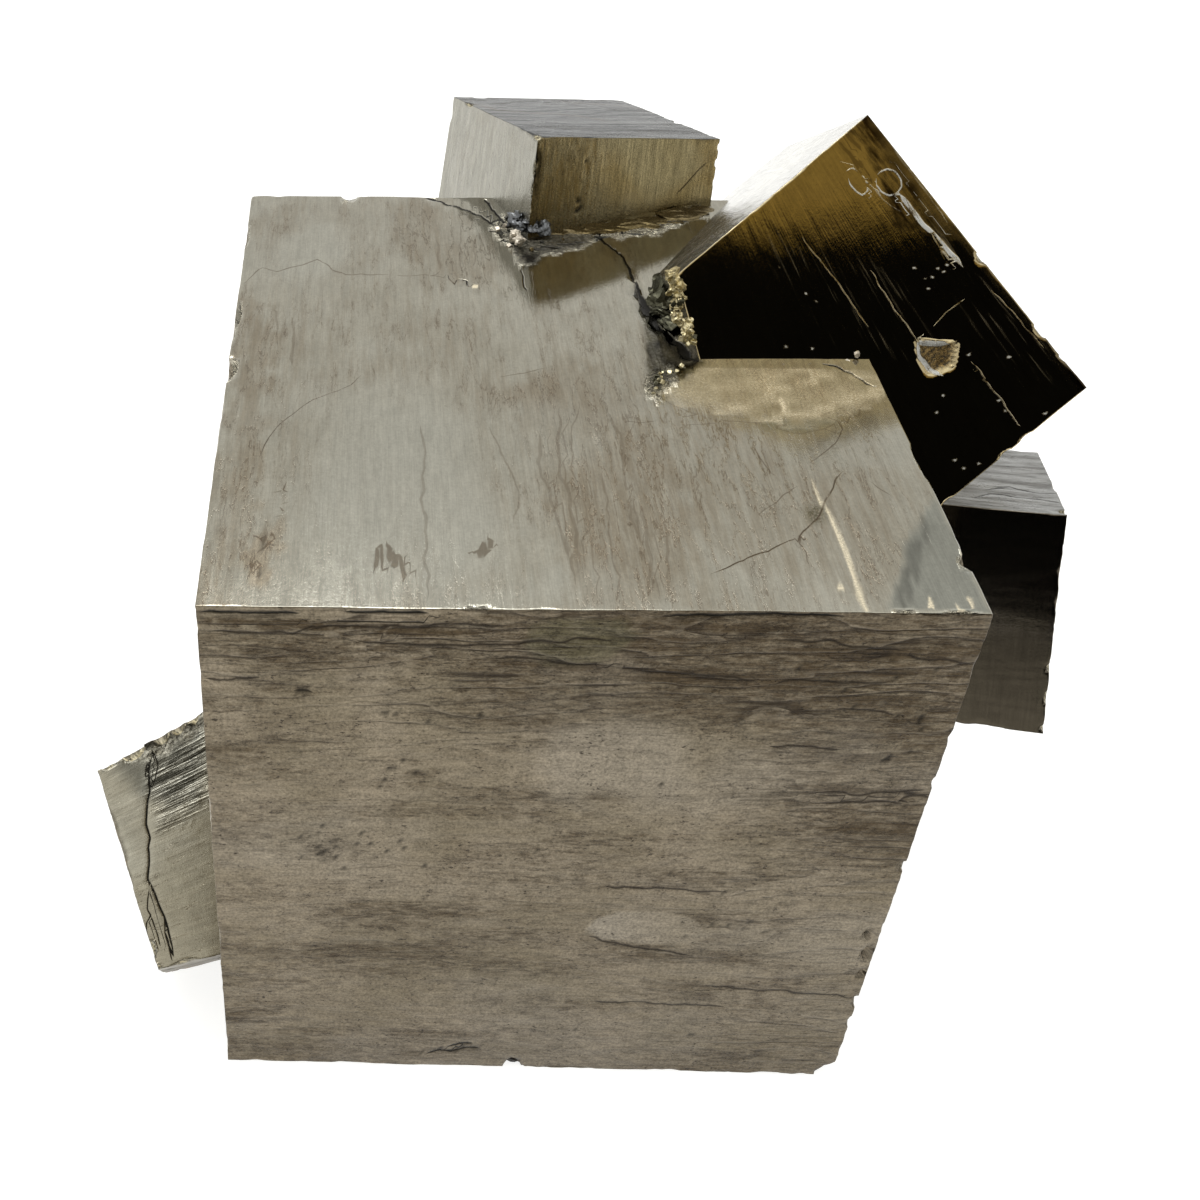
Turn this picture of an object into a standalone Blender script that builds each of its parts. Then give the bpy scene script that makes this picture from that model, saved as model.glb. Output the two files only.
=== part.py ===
"""Pyrite specimen: five cubes of pyrite grown into one another, modelled as one solid.

Metres, +Z up, the viewer on the -Y side. The origin is the middle of the large
cube's base, which the specimen rests on. Every crystal starts as a primitive cube
and is joined to the large one with a union, as the real crystals are.
"""

import math
import random

import bpy
from mathutils import Euler, Matrix, Vector

MM = 0.001
SPECIMEN = "pyrite_specimen"
NODE = "pyrite_cluster"

# The large cube: a real cube is never quite square, so its corners are shifted a little.
LARGE_WIDTH = 45.2 * MM
LARGE_DEPTH = 50.6 * MM
LARGE_HEIGHT = 45.7 * MM
LARGE_TOP_LEAN = 1.1 * MM       # the top stands this far to the right of the base
LARGE_TOP_RISE = 1.1 * MM       # the top's right side is this much higher than its left
LARGE_BACK_SHIFT = -3.1 * MM    # the back stands this far to the left of the front

# The other cubes: the corner named below, their edges and their turn about X, Y and Z.
UPPER_CORNER = Vector((-1.25, 20.27, 54.07)) * MM      # top, front, left
UPPER_SIZE = Vector((16.7, 17.3, 17.0)) * MM
UPPER_TURN = (-12.0, 8.4, 21.7)
UPPER_FOOT_FLARE = 1.3 * MM

TILTED_CORNER = Vector((20.93, 9.53, 61.49)) * MM      # the apex
TILTED_SIZE = Vector((25.0, 25.7, 17.2)) * MM
TILTED_TURN = (-40.9, 40.3, -28.8)
TILTED_ROOT = 11.1 * MM         # its buried end slants this much further in on one side

RIGHT_CORNER = Vector((36.08, -5.95, 38.84)) * MM      # top, front, right
RIGHT_SIZE = Vector((23.0, 15.7, 17.0)) * MM
RIGHT_TURN = (-18.5, -7.7, -15.7)
RIGHT_BACK_INSET = 1.2 * MM

LEFT_CORNER = Vector((-27.44, -23.3, 8.12)) * MM       # bottom, front, left
LEFT_SIZE = Vector((12.0, 7.5, 15.1)) * MM
LEFT_TURN = (-57.7, 1.1, 18.4)
LEFT_BACK_INSET = 0.7 * MM
LEFT_TOP_LEAN = -2.0 * MM
LEFT_TOP_RISE = 4.8 * MM        # its broken top climbs towards the large cube

# Low growth plates on the large cube's faces, and the crust and chips.
PLATE_SINK = 0.6 * MM           # how deep a plate's foot is buried in its face
PLATE_SIDES = 14
PLATE_TAPER = 0.9
PLATE_JITTER = 0.16             # how uneven a plate's outline is
PLATE_SEED = 23
GRAIN_SEED = 41
CHIP_SEED = 7

PYRITE_COLOUR = (0.40, 0.36, 0.28, 1.0)
PYRITE_ROUGHNESS = 0.3


def clear_scene():
    for thing in list(bpy.data.objects):
        bpy.data.objects.remove(thing, do_unlink=True)


def new_collection(name):
    group = bpy.data.collections.new(name)
    bpy.context.scene.collection.children.link(group)
    return group


def move_to(thing, group):
    for owner in list(thing.users_collection):
        owner.objects.unlink(thing)
    group.objects.link(thing)


def pyrite_material():
    pyrite = bpy.data.materials.new("pyrite")
    pyrite.use_nodes = True
    shader = pyrite.node_tree.nodes["Principled BSDF"]
    shader.inputs["Base Color"].default_value = PYRITE_COLOUR
    shader.inputs["Metallic"].default_value = 1.0
    shader.inputs["Roughness"].default_value = PYRITE_ROUGHNESS
    return pyrite


def rotation(turn):
    return Euler([math.radians(angle) for angle in turn]).to_matrix().to_4x4()


def cube_crystal(name, corner, size, turn, anchor, shifts=()):
    """A cube with its anchor corner, given as 0 or 1 along each axis, at the point corner.

    shifts moves single corners in the crystal's own axes, before it is turned.
    """
    bpy.ops.mesh.primitive_cube_add(size=1.0)
    crystal = bpy.context.active_object
    crystal.name = name
    nudges = dict(shifts)
    for vertex in crystal.data.vertices:
        key = tuple(int(value > 0.0) for value in vertex.co)
        steps = [side - start for side, start in zip(key, anchor)]
        vertex.co = Vector([step * length for step, length in zip(steps, size)])
        vertex.co += nudges.get(key, Vector())
    crystal.matrix_world = Matrix.Translation(corner) @ rotation(turn)
    return crystal


def large_crystal():
    """The block that carries the rest: base flat on the table, faces slightly off square."""
    lean = Vector((LARGE_TOP_LEAN, 0.0, 0.0))
    rise = Vector((0.0, 0.0, LARGE_TOP_RISE))
    back = Vector((LARGE_BACK_SHIFT, 0.0, 0.0))
    shifts = {
        (0, 0, 1): lean,
        (1, 0, 1): lean + rise,
        (0, 1, 0): back,
        (1, 1, 0): back,
        (0, 1, 1): lean + back,
        (1, 1, 1): lean + back + rise,
    }
    corner = Vector((-LARGE_WIDTH / 2, -LARGE_DEPTH / 2, 0.0))
    size = (LARGE_WIDTH, LARGE_DEPTH, LARGE_HEIGHT)
    return cube_crystal(NODE, corner, size, (0.0, 0.0, 0.0), (0, 0, 0), shifts.items())


def upper_crystal():
    """The small cube on the back edge of the large one's top."""
    flare = {(0, 1, 0): Vector((-UPPER_FOOT_FLARE, 0.0, 0.0))}
    return cube_crystal(
        "upper_cube", UPPER_CORNER, UPPER_SIZE, UPPER_TURN, (0, 0, 1), flare.items()
    )


def tilted_crystal():
    """The big tilted cube at the right rear, standing on one edge of the large cube's top."""
    root = Vector((0.0, 0.0, -TILTED_ROOT))
    shifts = {(1, 0, 0): root, (1, 1, 0): root}
    return cube_crystal(
        "tilted_cube", TILTED_CORNER, TILTED_SIZE, TILTED_TURN, (0, 0, 1), shifts.items()
    )


def right_crystal():
    """The cube under the tilted one, on the large cube's right side."""
    inset = Vector((-RIGHT_BACK_INSET, 0.0, 0.0))
    shifts = {(1, 1, 0): inset, (1, 1, 1): inset}
    return cube_crystal(
        "right_cube", RIGHT_CORNER, RIGHT_SIZE, RIGHT_TURN, (1, 0, 1), shifts.items()
    )


def left_crystal():
    """The thin broken cube low on the left side, its top face torn and slanting."""
    lean = Vector((LEFT_TOP_LEAN, 0.0, 0.0))
    rise = Vector((0.0, 0.0, LEFT_TOP_RISE))
    inset = Vector((LEFT_BACK_INSET, 0.0, 0.0))
    shifts = {
        (0, 0, 1): lean,
        (0, 1, 0): inset,
        (0, 1, 1): lean + inset,
        (1, 0, 1): rise,
        (1, 1, 1): rise,
    }
    return cube_crystal(
        "left_cube", LEFT_CORNER, LEFT_SIZE, LEFT_TURN, (0, 0, 0), shifts.items()
    )


# A face of the large cube: a point on it, its across and up directions.
HALF_WIDTH = LARGE_WIDTH / 2
HALF_DEPTH = LARGE_DEPTH / 2
TOP_SLOPE = LARGE_TOP_RISE / LARGE_WIDTH
SIDE_SHEAR = LARGE_BACK_SHIFT / LARGE_DEPTH
SIDE_LEAN = LARGE_TOP_LEAN / LARGE_HEIGHT
MIDDLE_SHIFT = LARGE_BACK_SHIFT / 2
FACES = {
    "front": (Vector((0, -HALF_DEPTH, 0)), Vector((1, 0, 0)), Vector((0, 0, 1))),
    "back": (
        Vector((LARGE_BACK_SHIFT, HALF_DEPTH, 0)),
        Vector((-1, 0, 0)),
        Vector((0, 0, 1)),
    ),
    "right": (
        Vector((HALF_WIDTH + MIDDLE_SHIFT, 0, 0)),
        Vector((SIDE_SHEAR, 1, 0)),
        Vector((SIDE_LEAN, 0, 1)),
    ),
    "left": (
        Vector((-HALF_WIDTH + MIDDLE_SHIFT, 0, 0)),
        Vector((-SIDE_SHEAR, -1, 0)),
        Vector((SIDE_LEAN, 0, 1)),
    ),
    "top": (
        Vector((0, 0, LARGE_HEIGHT + LARGE_TOP_RISE / 2)),
        Vector((1, 0, TOP_SLOPE)),
        Vector((0, 1, 0)),
    ),
}

# Growth plates: face, across, up, half length, half width, turn in degrees, height, all in mm.
PLATES = [
    ("front", -6.0, 43.6, 15.5, 0.8, 0.6, 0.26),
    ("front", 13.5, 43.0, 8.6, 1.0, -1.5, 0.30),
    ("front", -13.0, 40.4, 8.6, 0.6, 0.0, 0.22),
    ("front", 8.0, 39.3, 13.5, 0.7, 1.2, 0.24),
    ("front", -2.0, 33.5, 17.5, 0.9, -0.8, 0.18),
    ("front", 6.0, 21.5, 8.0, 1.7, 3.0, 0.22),
    ("front", -11.0, 15.0, 9.5, 0.8, 1.0, 0.18),
    ("front", 7.5, 9.5, 11.5, 0.8, -1.0, 0.20),
    ("front", -6.0, 4.6, 13.0, 0.7, 1.5, 0.18),
    ("top", 15.2, -2.6, 6.6, 3.3, 6.0, 0.55),
    ("top", -14.0, 18.6, 7.4, 5.6, 4.0, 0.25),
    ("top", -12.5, -8.0, 5.0, 11.0, -6.0, 0.18),
    ("top", 2.0, -9.0, 4.2, 12.5, -10.0, 0.16),
    ("right", -9.0, 11.5, 10.5, 1.2, 2.0, 0.30),
    ("right", 8.0, 8.0, 11.0, 2.2, -3.0, 0.35),
    ("right", 12.5, 21.0, 9.0, 3.0, 4.0, 0.30),
    ("left", 8.0, 36.5, 12.0, 1.4, -2.0, 0.30),
    ("left", -7.0, 29.0, 13.5, 2.6, 3.0, 0.35),
    ("left", -9.5, 14.0, 10.0, 1.8, -4.0, 0.30),
    ("back", -8.5, 13.0, 10.5, 2.6, 3.0, 0.35),
    ("back", 8.0, 22.0, 11.0, 1.6, -2.0, 0.30),
    ("back", 6.0, 37.5, 12.0, 2.2, 2.0, 0.32),
]


def growth_plate(index, face, across, up, half_length, half_width, turn, height):
    """A low uneven plate of crystal on a face, with its foot sunk in the face."""
    rng = random.Random(PLATE_SEED + index)
    start, along, rise = FACES[face]
    along = along.normalized()
    outward = along.cross(rise).normalized()
    upward = outward.cross(along)
    place = start + along * across * MM + rise * up * MM
    frame = Matrix((along, upward, outward)).transposed().to_4x4()
    depth = height * MM + PLATE_SINK
    bpy.ops.mesh.primitive_cone_add(
        vertices=PLATE_SIDES, radius1=1.0, radius2=PLATE_TAPER, depth=1.0
    )
    plate = bpy.context.active_object
    plate.name = f"plate_{index:02d}"
    reach = [1.0 + rng.uniform(-PLATE_JITTER, PLATE_JITTER) for _ in range(PLATE_SIDES)]
    for vertex in plate.data.vertices:
        bearing = math.atan2(vertex.co.y, vertex.co.x) / math.tau
        stretch = reach[round(bearing * PLATE_SIDES) % PLATE_SIDES]
        vertex.co.x *= stretch
        vertex.co.y *= stretch
    sized = Matrix.Diagonal((half_length * MM, half_width * MM, depth, 1.0))
    centre = place + outward * (height * MM - depth / 2)
    spin = Matrix.Rotation(math.radians(turn), 4, "Z")
    plate.data.transform(Matrix.Translation(centre) @ frame @ spin @ sized)
    return plate


# Crust that fills the crevices: start, end, how many grains, smallest and largest edge in mm.
CRUST_RUNS = [
    ((-3.0, 15.6, 46.2), (12.5, 24.0, 46.6), 11, 1.3, 2.4),
    ((7.2, 2.2, 46.4), (8.6, 6.4, 50.2), 9, 1.2, 2.1),
    ((6.4, -0.6, 46.1), (9.0, 1.6, 46.8), 4, 0.9, 1.4),
    ((-31.2, -9.6, 16.2), (-24.6, -4.8, 17.2), 8, 1.6, 2.8),
]


def crust_grains():
    """Small cubes turned at random, in a row along each crevice or torn edge."""
    rng = random.Random(GRAIN_SEED)
    grains = []
    for start, end, count, smallest, largest in CRUST_RUNS:
        for step in range(count):
            share = (step + 0.5) / count
            place = Vector(start).lerp(Vector(end), share)
            place += Vector([rng.uniform(-0.5, 0.5) for _ in range(3)])
            edges = [rng.uniform(smallest, largest) * MM for _ in range(3)]
            turn = [rng.uniform(0.0, 90.0) for _ in range(3)]
            bpy.ops.mesh.primitive_cube_add(size=1.0)
            grain = bpy.context.active_object
            grain.name = f"grain_{len(grains):02d}"
            sized = Matrix.Diagonal((*edges, 1.0))
            grain.data.transform(Matrix.Translation(place * MM) @ rotation(turn) @ sized)
            grains.append(grain)
    return grains


# Chips broken from edges and faces: middle, reach along X, Y and Z, all in mm, and turn.
CHIPS = [
    ("base_notch", (-1.3, -25.3, 0.0), (1.0, 1.0, 0.8), (20, 0, 15)),
    ("base_corner", (23.0, -25.6, 0.4), (1.4, 1.2, 1.7), (0, 35, 20)),
    ("edge_low", (23.1, -25.5, 9.5), (0.7, 0.8, 1.3), (15, 10, 0)),
    ("edge_middle", (23.3, -25.5, 14.8), (0.8, 0.7, 2.1), (5, -12, 10)),
    ("edge_high", (23.6, -25.5, 20.6), (0.6, 0.6, 1.1), (0, 18, 0)),
    ("base_left", (-23.9, 3.0, 0.0), (1.2, 3.4, 1.1), (0, 15, 5)),
    ("back_corner", (-25.9, 25.4, 22.0), (1.3, 1.3, 3.6), (0, 0, 30)),
    ("left_cube_corner", (-28.4, -22.6, 8.2), (1.5, 1.6, 2.0), (30, 20, 0)),
    ("tilted_pit", (28.0, -0.6, 47.9), (1.7, 1.1, 0.9), (-20, 35, 10)),
    ("tilted_back", (30.5, 27.5, 42.0), (2.4, 1.6, 2.0), (30, 0, 40)),
    ("right_cube_low", (36.5, -11.1, 25.8), (0.7, 0.9, 1.6), (-15, 0, 0)),
    ("upper_foot", (-2.0, 18.0, 48.6), (0.5, 0.9, 2.2), (0, 8, 20)),
    ("crevice_gap", (7.4, 8.6, 46.4), (0.7, 4.2, 1.6), (0, 0, 22)),
    ("crevice_rear", (0.4, 13.6, 46.4), (0.8, 2.2, 1.2), (0, 0, -30)),
    ("crevice_left", (-6.4, 20.8, 46.3), (3.4, 0.5, 0.9), (0, 0, -28)),
]
CHIP_JITTER = 0.22


def edge_chips():
    """Coarse, uneven balls that bite into edges and open the cracks."""
    rng = random.Random(CHIP_SEED)
    chips = []
    for name, middle, reach, turn in CHIPS:
        bpy.ops.mesh.primitive_ico_sphere_add(subdivisions=1, radius=1.0)
        chip = bpy.context.active_object
        chip.name = f"chip_{name}"
        for vertex in chip.data.vertices:
            vertex.co *= 1.0 + rng.uniform(-CHIP_JITTER, CHIP_JITTER)
        sized = Matrix.Diagonal((*[value * MM for value in reach], 1.0))
        chip.data.transform(Matrix.Translation(Vector(middle) * MM) @ rotation(turn) @ sized)
        chips.append(chip)
    return chips


def combine(body, others, operation, guides):
    """Join the others to the body, or cut them from it, and keep them only as guides."""
    for other in others:
        step = body.modifiers.new(f"{operation.lower()}_{other.name}", "BOOLEAN")
        step.operation = operation
        step.solver = "EXACT"
        step.object = other
        other.hide_render = True
        other.display_type = "WIRE"
        move_to(other, guides)


def main():
    clear_scene()
    specimen = new_collection(SPECIMEN)
    guides = new_collection("guides")
    body = large_crystal()
    move_to(body, specimen)
    body.data.materials.append(pyrite_material())
    plates = [growth_plate(index, *values) for index, values in enumerate(PLATES)]
    crystals = [upper_crystal(), tilted_crystal(), right_crystal(), left_crystal()]
    combine(body, plates + crystals + crust_grains(), "UNION", guides)
    combine(body, edge_chips(), "DIFFERENCE", guides)


main()
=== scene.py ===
"""Looks of the pyrite specimen: five cubes of pyrite grown into one another.

Each crystal is a fine mesh with worn edges, growth steps, pits, chips and cracks, and
the crevices between them are filled with a granular crust. Lengths are in millimetres
in the crystals' own axes and in metres in the world. A place named in pixels is a point
of the 1200 pixel photograph, which is cast through the camera onto a crystal's face.
"""

import math

import bmesh
import bpy
import numpy as np
from mathutils import Euler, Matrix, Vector


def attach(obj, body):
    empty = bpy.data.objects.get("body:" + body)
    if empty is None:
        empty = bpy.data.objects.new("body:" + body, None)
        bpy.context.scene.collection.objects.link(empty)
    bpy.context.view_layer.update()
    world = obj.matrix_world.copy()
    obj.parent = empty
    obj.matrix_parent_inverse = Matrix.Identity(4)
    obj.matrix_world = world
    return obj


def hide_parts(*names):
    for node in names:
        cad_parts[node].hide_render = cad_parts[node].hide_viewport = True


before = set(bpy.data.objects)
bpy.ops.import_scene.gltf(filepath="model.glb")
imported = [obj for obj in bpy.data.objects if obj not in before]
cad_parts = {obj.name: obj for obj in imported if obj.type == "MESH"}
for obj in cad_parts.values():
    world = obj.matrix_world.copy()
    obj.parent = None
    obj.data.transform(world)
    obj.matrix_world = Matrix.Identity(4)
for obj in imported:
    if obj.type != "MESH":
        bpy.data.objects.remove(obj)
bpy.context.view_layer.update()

MM = 0.001
NODE = "pyrite_cluster"

# Camera
PHOTO_PIXELS = 1200.0
SENSOR_MM = 36.0
LENS_MM = 45.04
CAMERA_PLACE = Vector((-7.16, -88.28, 103.73)) * MM
CAMERA_TURN = (53.55, -1.756, 0.477)
OPTICAL_CENTRE = (470.0, 450.0)        # the pixel that the lens axis meets


def turn_matrix(turn):
    return Euler([math.radians(angle) for angle in turn]).to_matrix()


def add_camera():
    data = bpy.data.cameras.new("camera")
    data.sensor_width = SENSOR_MM
    data.lens = LENS_MM
    data.shift_x = 0.5 - OPTICAL_CENTRE[0] / PHOTO_PIXELS
    data.shift_y = OPTICAL_CENTRE[1] / PHOTO_PIXELS - 0.5
    data.clip_start = 0.005
    data.clip_end = 20.0
    camera = bpy.data.objects.new("camera", data)
    camera.location = CAMERA_PLACE
    camera.rotation_euler = [math.radians(angle) for angle in CAMERA_TURN]
    bpy.context.scene.collection.objects.link(camera)
    bpy.context.scene.camera = camera


def pixel_ray(pixel):
    """The world direction in which the camera sees a pixel of the photograph."""
    focal = LENS_MM / SENSOR_MM * PHOTO_PIXELS
    across = (pixel[0] - OPTICAL_CENTRE[0]) / focal
    down = (pixel[1] - OPTICAL_CENTRE[1]) / focal
    return turn_matrix(CAMERA_TURN) @ Vector((across, -down, -1.0))


# Repeatable noise
def lattice_value(cell, seed):
    """A repeatable number from -1 to 1 for each whole-numbered lattice point."""
    mixed = cell[:, 0] * 73856093 ^ cell[:, 1] * 19349663 ^ cell[:, 2] * 83492791
    mixed = (mixed ^ seed * 2654435761) & 0xFFFFFFFF
    mixed = (mixed ^ (mixed >> 15)) * 2246822519 & 0xFFFFFFFF
    mixed = (mixed ^ (mixed >> 13)) * 3266489917 & 0xFFFFFFFF
    mixed = mixed ^ (mixed >> 16)
    return mixed / 2147483647.5 - 1.0


def noise(points, seed):
    """Smooth value noise from -1 to 1 at an array of points."""
    base = np.floor(points).astype(np.int64)
    part = points - base
    part = part * part * part * (part * (part * 6.0 - 15.0) + 10.0)
    total = np.zeros(len(points))
    for corner in np.ndindex(2, 2, 2):
        weight = np.ones(len(points))
        for axis, side in enumerate(corner):
            weight *= part[:, axis] if side else 1.0 - part[:, axis]
        total += weight * lattice_value(base + np.array(corner), seed)
    return total


def layered(points, seed, layers=4, gain=0.5):
    """Several sizes of noise added together."""
    total = np.zeros(len(points))
    strength = 1.0
    for layer in range(layers):
        total += strength * noise(points * 2.0 ** layer, seed + 17 * layer)
        strength *= gain
    return total


def flat_noise(across, up, across_size, up_size, seed, layers=4, gain=0.5):
    """Layered noise on a face, with the given grain size in mm along each way."""
    points = np.column_stack([across / across_size, up / up_size, np.full(len(up), 0.37)])
    return layered(points, seed, layers, gain)


def smooth_step(low, high, value):
    share = np.clip((value - low) / (high - low), 0.0, 1.0)
    return share * share * (3.0 - 2.0 * share)


def stairs(value, edge=0.25):
    """Whole steps with a short ramp between them."""
    whole = np.floor(value)
    return whole + smooth_step(1.0 - edge, 1.0, value - whole)


# The faces of a crystal: axis, side, and the axes that run across and up the face
FACES = {
    "left": (0, 0, 1, 2),
    "right": (0, 1, 1, 2),
    "front": (1, 0, 0, 2),
    "back": (1, 1, 0, 2),
    "bottom": (2, 0, 0, 1),
    "top": (2, 1, 0, 1),
}
EDGE_ROWS = np.array([0.0, 0.04, 0.1, 0.19, 0.32])     # the outermost grid rows, in mm


def grid_lines(length, cells):
    """Grid places along an edge in mm, closer together at both ends."""
    inner = np.linspace(0.5, length - 0.5, cells)
    return np.concatenate([EDGE_ROWS, inner, length - EDGE_ROWS[::-1]])


class Crystal:
    """A cube crystal, with the corner, edges, turn and corner shifts of the solid."""

    def __init__(self, name, corner, size, turn, anchor, shifts, cells):
        self.name = name
        self.corner = np.array(corner)
        self.size = np.array(size, float)
        self.turn = np.array(turn_matrix(turn))
        self.anchor = np.array(anchor)
        self.shifts = shifts
        self.cells = cells

    def shifted(self, local):
        """Local points in mm after the corners' shifts are blended in."""
        share = local / self.size
        moved = local.copy()
        for corner, shift in self.shifts.items():
            weight = np.ones(len(local))
            for axis, side in enumerate(corner):
                weight *= share[:, axis] if side else 1.0 - share[:, axis]
            moved += weight[:, None] * np.array(shift)
        return moved

    def world(self, local):
        """World places in metres of local points in mm."""
        moved = self.shifted(local) - self.anchor * self.size
        return (self.corner + moved @ self.turn.T) * MM

    def locate(self, pixels, face):
        """The local points in mm where the camera sees the pixels on a face."""
        axis, side, across, up = FACES[face]
        spots = np.zeros((3, 3))
        spots[:, axis] = side * self.size[axis]
        spots[1, across] = self.size[across]
        spots[2, up] = self.size[up]
        start, right, above = self.world(spots)
        normal = Vector(np.cross(right - start, above - start))
        found = []
        for pixel in pixels:
            ray = pixel_ray(pixel)
            reach = (Vector(start) - CAMERA_PLACE).dot(normal) / ray.dot(normal)
            found.append(np.array(CAMERA_PLACE + ray * reach) / MM)
        target = (np.array(found) - self.corner) @ self.turn + self.anchor * self.size
        local = target.copy()
        for _ in range(6):
            local = target - (self.shifted(local) - local)
        return local

    def spots(self, pixels, face):
        """The same places as across and up on the face."""
        _, _, across, up = FACES[face]
        return self.locate(pixels, face)[:, [across, up]]


LARGE = Crystal(
    "large_cube", (-22.6, -25.3, 0.0), (45.2, 50.6, 45.7), (0, 0, 0), (0, 0, 0),
    {
        (0, 0, 1): (1.1, 0, 0), (1, 0, 1): (1.1, 0, 1.1),
        (0, 1, 0): (-3.1, 0, 0), (1, 1, 0): (-3.1, 0, 0),
        (0, 1, 1): (-2.0, 0, 0), (1, 1, 1): (-2.0, 0, 1.1),
    },
    (160, 64, 130),
)
UPPER = Crystal(
    "upper_cube", (-1.25, 20.27, 54.07), (16.7, 17.3, 17.0), (-12.0, 8.4, 21.7), (0, 0, 1),
    {(0, 1, 0): (-1.3, 0, 0)},
    (84, 70, 60),
)
TILTED = Crystal(
    "tilted_cube", (20.93, 9.53, 61.49), (25.0, 25.7, 17.2), (-40.9, 40.3, -28.8),
    (0, 0, 1),
    {(1, 0, 0): (0, 0, -11.1), (1, 1, 0): (0, 0, -11.1)},
    (110, 90, 96),
)
RIGHT = Crystal(
    "right_cube", (36.08, -5.95, 38.84), (23.0, 15.7, 17.0), (-18.5, -7.7, -15.7),
    (1, 0, 1),
    {(1, 1, 0): (-1.2, 0, 0), (1, 1, 1): (-1.2, 0, 0)},
    (86, 60, 70),
)
LEFT = Crystal(
    "left_cube", (-27.44, -23.3, 8.12), (12.0, 7.5, 15.1), (-57.7, 1.1, 18.4), (0, 0, 0),
    {
        (0, 0, 1): (-2.0, 0, 0), (0, 1, 0): (0.7, 0, 0), (0, 1, 1): (-1.3, 0, 0),
        (1, 0, 1): (0, 0, 4.8), (1, 1, 1): (0, 0, 4.8),
    },
    (76, 48, 90),
)

EDGE_ROUND = 0.035      # the sharpest edges' radius, in mm
WEAR_SIZE = 2.2         # how far apart worn stretches of an edge are


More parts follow.
